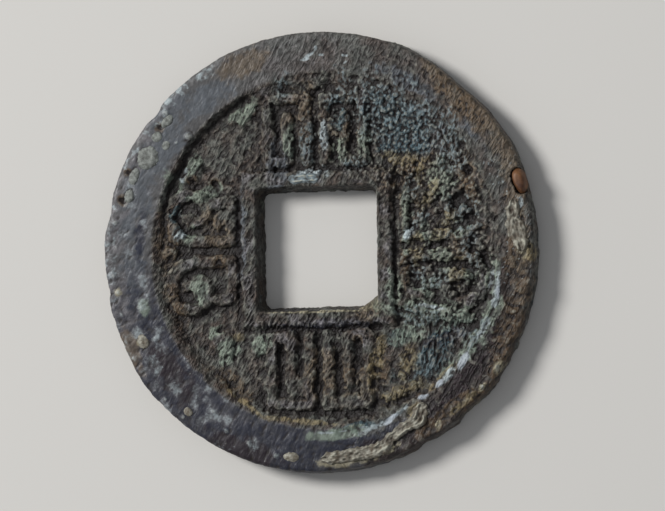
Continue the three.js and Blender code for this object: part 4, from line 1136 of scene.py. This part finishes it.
for seed, (node, degrees, inset, length, width, height, burst) in enumerate(BLISTERS, 100):
    middle = on_rim(degrees, inset)
    rings = lump_rings(middle, math.radians(degrees + 90), length, width, DOME, height, seed,
                       ((0.2 * height, 0.34), (0.12 * height, 0.13)))
    mesh = skin(node + "_crust", rings)
    # The hole lies to the left of the middle, and leaves a crescent of skin on the right
    places = np.array([vertex.co[:] for vertex in mesh.vertices]) / MM
    hole_at = middle + (-0.16 * width, 0.1 * width)
    away = np.hypot(*(places[:, :2] - hole_at).T) + 0.04 * grain(places, 0.2, seed + 7)
    sinks = burst * smooth(0.42 * width, 0.26 * width, away) * (places[:, 2] > rim_top + 0.01)
    places[:, 2] -= 0.85 * height * sinks
    mesh.vertices.foreach_set("co", (places * MM).astype(np.float32).reshape(-1))
    # Dark brown in the burst tops, partly soil and partly painted shade
    mark(mesh, "hollows", 0.9 * smooth(0.0, 0.45, sinks * burst))
    dress(node + "_crust", mesh, node, blister_grey)

# Pale nodules and crusts: lime and soil cemented to the rim in the ground. Each is a rough
# low heap or plate, sandy to the eye, with brown soil still in its holes.
# Name, degrees, distance in from the rim's flat, length, width and height
NODULES = (
    ("nodule_lower_left", 206, 0.72, 0.85, 0.6, 0.09),
    ("nodule_lower_edge", 230, 0.32, 0.56, 0.46, 0.09),
    ("nodule_bottom", 262.4, 0.38, 0.88, 0.54, 0.1),
)
HEAP = ((1.0, 0.0), (0.93, 0.2), (0.84, 0.42), (0.72, 0.62), (0.58, 0.79), (0.43, 0.91),
        (0.28, 0.97), (0.14, 1), (0.03, 1))
# The line of each crust on the rim: degrees and distance in from the rim's flat
CRUST_RIGHT = ((14.4, 0.45), (11.5, 0.5), (8.5, 0.7), (5.5, 0.5), (2.0, 0.33), (-0.8, 0.32))
CRUST_LOWER_RIGHT = (
    (306.0, 1.5), (303.7, 1.3), (300.9, 0.85), (297.5, 0.85), (292.0, 0.75), (288.4, 0.36),
    (284.0, 0.34), (277.8, 0.4), (270.6, 0.34),
)
# On the hole's upper rim: middle, from the hole's own middle, and length
HOLE_CRUST_MIDDLE = (-0.65, HOLE_HALF + HOLE_RIM_WIDTH / 2)
HOLE_CRUST_LENGTH = 1.9
SAND_SIZE = 0.3
SAND_TONES = ((0.36, "#675d4e"), (0.49, "#7f7a6d"), (0.64, "#a6a395"))
RIDGE_STEP = 0.035
RIDGE_SOFTENING = 7
RIDGE_COLUMNS = 41

# Lime and soil: matt and sandy, from soil brown to bleached beige on the lips of the plates
pale_lime, tree, shader, tint = mineral(
    "lime_and_soil", SAND_SIZE, SAND_TONES,
    detail=5.0, fuzz=0.65, roughness=0.65, pores=0.5, pore_depth=0.06)
soiled = where_marked(tree, tint, "hollows", "#35291d")
bleached = where_marked(tree, soiled, "lips", "#b9b7a6")
tree.links.new(bleached, shader.inputs["Base Color"])

for seed, (node, degrees, inset, length, width, height) in enumerate(NODULES, 120):
    rings = lump_rings(on_rim(degrees, inset), math.radians(degrees + 90), length, width, HEAP,
                       height, seed, ((0.03, 0.25), (0.02, 0.12)))
    dress(node + "_crust", skin(node + "_crust", rings), node, pale_lime)


def crust_ridge(name, line, width, height, base, seed, edge_power=5):
    """A flaky plate along a line of points, torn at its sides, with raised lips and a trough."""
    line = np.array(line)
    steps = np.linalg.norm(np.diff(line, axis=0), axis=1)
    travelled = np.concatenate(([0], np.cumsum(steps)))
    count = max(24, int(travelled[-1] / RIDGE_STEP))
    at = np.linspace(0, travelled[-1], count)
    centre = np.column_stack([np.interp(at, travelled, line[:, i]) for i in (0, 1)])
    kernel = np.ones(2 * RIDGE_SOFTENING + 1) / (2 * RIDGE_SOFTENING + 1)
    padded = np.pad(centre, ((RIDGE_SOFTENING, RIDGE_SOFTENING), (0, 0)), mode="edge")
    centre = np.column_stack([np.convolve(padded[:, i], kernel, "valid") for i in (0, 1)])
    ahead = np.gradient(centre, axis=0)
    ahead /= np.linalg.norm(ahead, axis=1, keepdims=True)
    aside = np.column_stack((-ahead[:, 1], ahead[:, 0]))
    spine = np.column_stack((centre, np.zeros(count)))
    taper = 0.1 + 0.9 * np.sqrt(np.clip(np.minimum(at, at[-1] - at) / (0.8 * width), 0.0, 1))
    sides = []
    for side_seed in (seed, seed + 10):
        lobes = waves(spine, (0.5, 1.3, side_seed), (0.35, 0.5, side_seed + 1),
                      (0.25, 0.2, side_seed + 2))
        sides.append(taper * width / 2 * np.clip(1.1 + lobes, 0.4, 1.8))
    lip_height = [np.clip(0.25 + 1.1 * grain(spine, 0.55, seed + 5 + side), 0, 0.6) for side in (0, 1)]
    lip_at = [0.55 + 0.3 * grain(spine, 0.5, seed + 7 + side) for side in (0, 1)]
    # Each ring goes over the plate from side to side, and back through two points in the bronze
    arch = np.concatenate((np.linspace(-1, 1, RIDGE_COLUMNS), [1.0, -1.0]))
    in_bronze = np.arange(len(arch)) >= RIDGE_COLUMNS
    edge = np.clip(1 - np.abs(arch) ** edge_power, 0, 1) ** 0.6
    left = arch < 0
    rings = []
    soil = []
    lips = []
    for i in range(count):
        reach = np.where(left, sides[0][i], sides[1][i])
        flat = centre[i] + aside[i] * (arch * reach)[:, None]
        spots = np.column_stack((np.full(len(arch), 0.6 * at[i]), arch * reach, np.zeros(len(arch))))
        rough_top = waves(spots, (0.5, 0.34, seed + 2), (0.3, 0.13, seed + 4))
        lip = np.exp(-(((np.abs(arch) - np.where(left, lip_at[0][i], lip_at[1][i])) / 0.2) ** 2))
        lip *= np.where(left, lip_height[0][i], lip_height[1][i])
        top = edge * height * (0.5 + lip + rough_top) * (0.5 + 0.5 * taper[i])
        top = np.where(in_bronze, -SUNK_BELOW, np.clip(top, 0.0, height))
        rings.append(np.column_stack((flat, base + top)))
        soil.append(0.9 * smooth(0.65, 0.15, top / height) * (1 - 0.8 * np.abs(arch) ** 3))
        lips.append(0.7 * smooth(0.65, 1.0, top / height))
    mesh = skin(name, rings)
    mark(mesh, "hollows", np.concatenate(soil))
    mark(mesh, "lips", np.concatenate(lips))
    return mesh


for node, line, width, height, seed in (
    ("crust_right", CRUST_RIGHT, 0.76, 0.18, 140),
    ("crust_lower_right", CRUST_LOWER_RIGHT, 0.6, 0.2, 150),
):
    rim_line = [on_rim(degrees, inset) for degrees, inset in line]
    mesh = crust_ridge(node + "_ridge", rim_line, width, height, rim_top, seed)
    dress(node + "_ridge", mesh, node, pale_lime)

hole_cos, hole_sin = math.cos(HOLE_TURN), math.sin(HOLE_TURN)
ends = []
for side in (-0.5, 0.5):
    along = HOLE_CRUST_MIDDLE[0] + side * HOLE_CRUST_LENGTH
    ends.append(np.array(HOLE_MIDDLE) + (
        along * hole_cos - HOLE_CRUST_MIDDLE[1] * hole_sin,
        along * hole_sin + HOLE_CRUST_MIDDLE[1] * hole_cos,
    ))
mesh = crust_ridge("crust_hole_rim_ridge", ends, 0.46, 0.09, hole_high, 160, 2)

# Azurite and lime: the same sandy crust on the hole's rim, chalky and pale blue-grey
pale_blue = pale_lime.copy()
pale_blue.name = "azurite_and_lime"
for node in pale_blue.node_tree.nodes:
    if node.bl_idname == "ShaderNodeValToRGB":
        for element, shade in zip(node.color_ramp.elements, ("#4d5354", "#748286", "#9fabae")):
            element.color = linear(shade)
dress("crust_hole_rim_ridge", mesh, "crust_hole_rim", pale_blue)

# Orange nodule: a smooth bead of iron-stained lime that grew on a ledge in the right edge and
# bulges over it. Its ledge is cut in the coin above, and a crack runs round it.
BEAD_HEIGHT = 0.5
BEAD_BULGE = 0.08
BEAD_SPREAD = 0.05
BEAD_STEPS = 48
BEAD_RINGS = 22
CLOUD_SIZE = 0.45
BEAD_TONES = ((0.35, "#4a2c19"), (0.65, "#7a5230"))
bead_rings = []
bead_middle = on_rim(ledge_at, ledge_inset)
bead_bottom = rim_top - ledge_drop
around = np.arange(BEAD_STEPS) * 2 * np.pi / BEAD_STEPS
for share in np.linspace(0.0, 1.0, BEAD_RINGS):
    # A quarter oval from the ledge up to the crown, drawn out over the edge on its outer side
    girth = math.cos(share * math.pi / 2 * 0.985) ** 0.5
    outline = np.column_stack((np.cos(around) * (ledge_width / 2 + BEAD_SPREAD),
                               np.sin(around) * (ledge_length / 2 + BEAD_SPREAD)))
    outline[:, 0] *= 1 + 0.15 * np.sin(around)
    outline[:, 0] += BEAD_BULGE * np.maximum(np.cos(around), 0) * (1 - share)
    cos, sin = math.cos(ledge_turn), math.sin(ledge_turn)
    flat = outline @ np.array(((cos, sin), (-sin, cos))) * girth
    spots = np.column_stack((flat + bead_middle, np.full(BEAD_STEPS, share)))
    uneven = 1 + 0.09 * grain(spots, 0.4, 130)
    top = bead_bottom + BEAD_HEIGHT * math.sin(share * math.pi / 2)
    bead_rings.append(np.column_stack((
        flat * uneven[:, None] + bead_middle, np.full(BEAD_STEPS, top))))

# Iron-stained lime: smooth, with a soft sheen, red-brown to orange in soft clouds
rust, tree, shader, tint = mineral(
    "iron_stained_lime", CLOUD_SIZE, BEAD_TONES,
    detail=4.0, fuzz=0.6, roughness=0.55, pores=0.4, pore_depth=0.08)
tree.links.new(tint, shader.inputs["Base Color"])
dress("nodule_right_bead", skin("nodule_right_bead", bead_rings), "nodule_right",
      rust)

# Ground: a plain sheet of pale paper that the coin lies on, quite matt, and wider than the view.
# Lengths are in m from here on.
half_sheet = 0.6
sheet_mesh = bpy.data.meshes.new("pale_ground")
sheet_mesh.from_pydata(
    [(-half_sheet, -half_sheet, 0), (half_sheet, -half_sheet, 0),
     (half_sheet, half_sheet, 0), (-half_sheet, half_sheet, 0)], [], [(0, 1, 2, 3)])
paper = bpy.data.materials.new("pale_paper")
paper.use_nodes = True
paper_shader = paper.node_tree.nodes["Principled BSDF"]
paper_shader.inputs["Base Color"].default_value = linear("#dedbd5")
paper_shader.inputs["Roughness"].default_value = 0.9
sheet_mesh.materials.append(paper)
ground = bpy.data.objects.new("pale_ground", sheet_mesh)
bpy.context.collection.objects.link(ground)

# Light: one soft window from the upper left, as in a room by day, and an even pale sky that
# keeps the far side of the relief from going black
LIGHT_AZIMUTH = math.radians(155)
LIGHT_HEIGHT = math.radians(40)
LIGHT_DISTANCE = 0.6
LIGHT_SIZE = 0.2
LIGHT_POWER = 3.3
SKY_STRENGTH = 0.28
scene = bpy.context.scene
scene.view_settings.view_transform = "Standard"
world = bpy.data.worlds.new("sky")
scene.world = world
world.use_nodes = True
sky = world.node_tree.nodes["Background"]
sky.inputs["Color"].default_value = linear("#f1f5fc")
sky.inputs["Strength"].default_value = SKY_STRENGTH
lamp = bpy.data.lights.new("window", "AREA")
lamp.shape = "DISK"
lamp.size = LIGHT_SIZE
lamp.energy = LIGHT_POWER
window = bpy.data.objects.new("window", lamp)
toward = Vector((math.cos(LIGHT_AZIMUTH) * math.cos(LIGHT_HEIGHT),
                 math.sin(LIGHT_AZIMUTH) * math.cos(LIGHT_HEIGHT), math.sin(LIGHT_HEIGHT)))
window.location = toward * LIGHT_DISTANCE
window.rotation_euler = toward.to_track_quat("Z", "Y").to_euler()
bpy.context.collection.objects.link(window)

# Camera: above the coin, leaning a little to its right, and far enough off to flatten it
CAMERA_LEAN = math.radians(13.3)
CAMERA_AZIMUTH = math.radians(-13)
CAMERA_DISTANCE = 0.5
VIEW_WIDTH = 36.85 * MM
AIM = Vector((0.826 * MM, -0.22 * MM, rim_top * MM))
view = bpy.data.cameras.new("camera")
view.sensor_width = 36
view.lens = view.sensor_width * CAMERA_DISTANCE / VIEW_WIDTH
view.clip_start = 0.01
camera = bpy.data.objects.new("camera", view)
back = Vector((math.sin(CAMERA_LEAN) * math.cos(CAMERA_AZIMUTH),
               math.sin(CAMERA_LEAN) * math.sin(CAMERA_AZIMUTH), math.cos(CAMERA_LEAN)))
right = Vector((0, 1, 0)).cross(back).normalized()
up = back.cross(right)
camera.matrix_world = Matrix.Translation(AIM + back * CAMERA_DISTANCE) @ Matrix(
    (right, up, back)).transposed().to_4x4()
bpy.context.collection.objects.link(camera)
scene.camera = camera
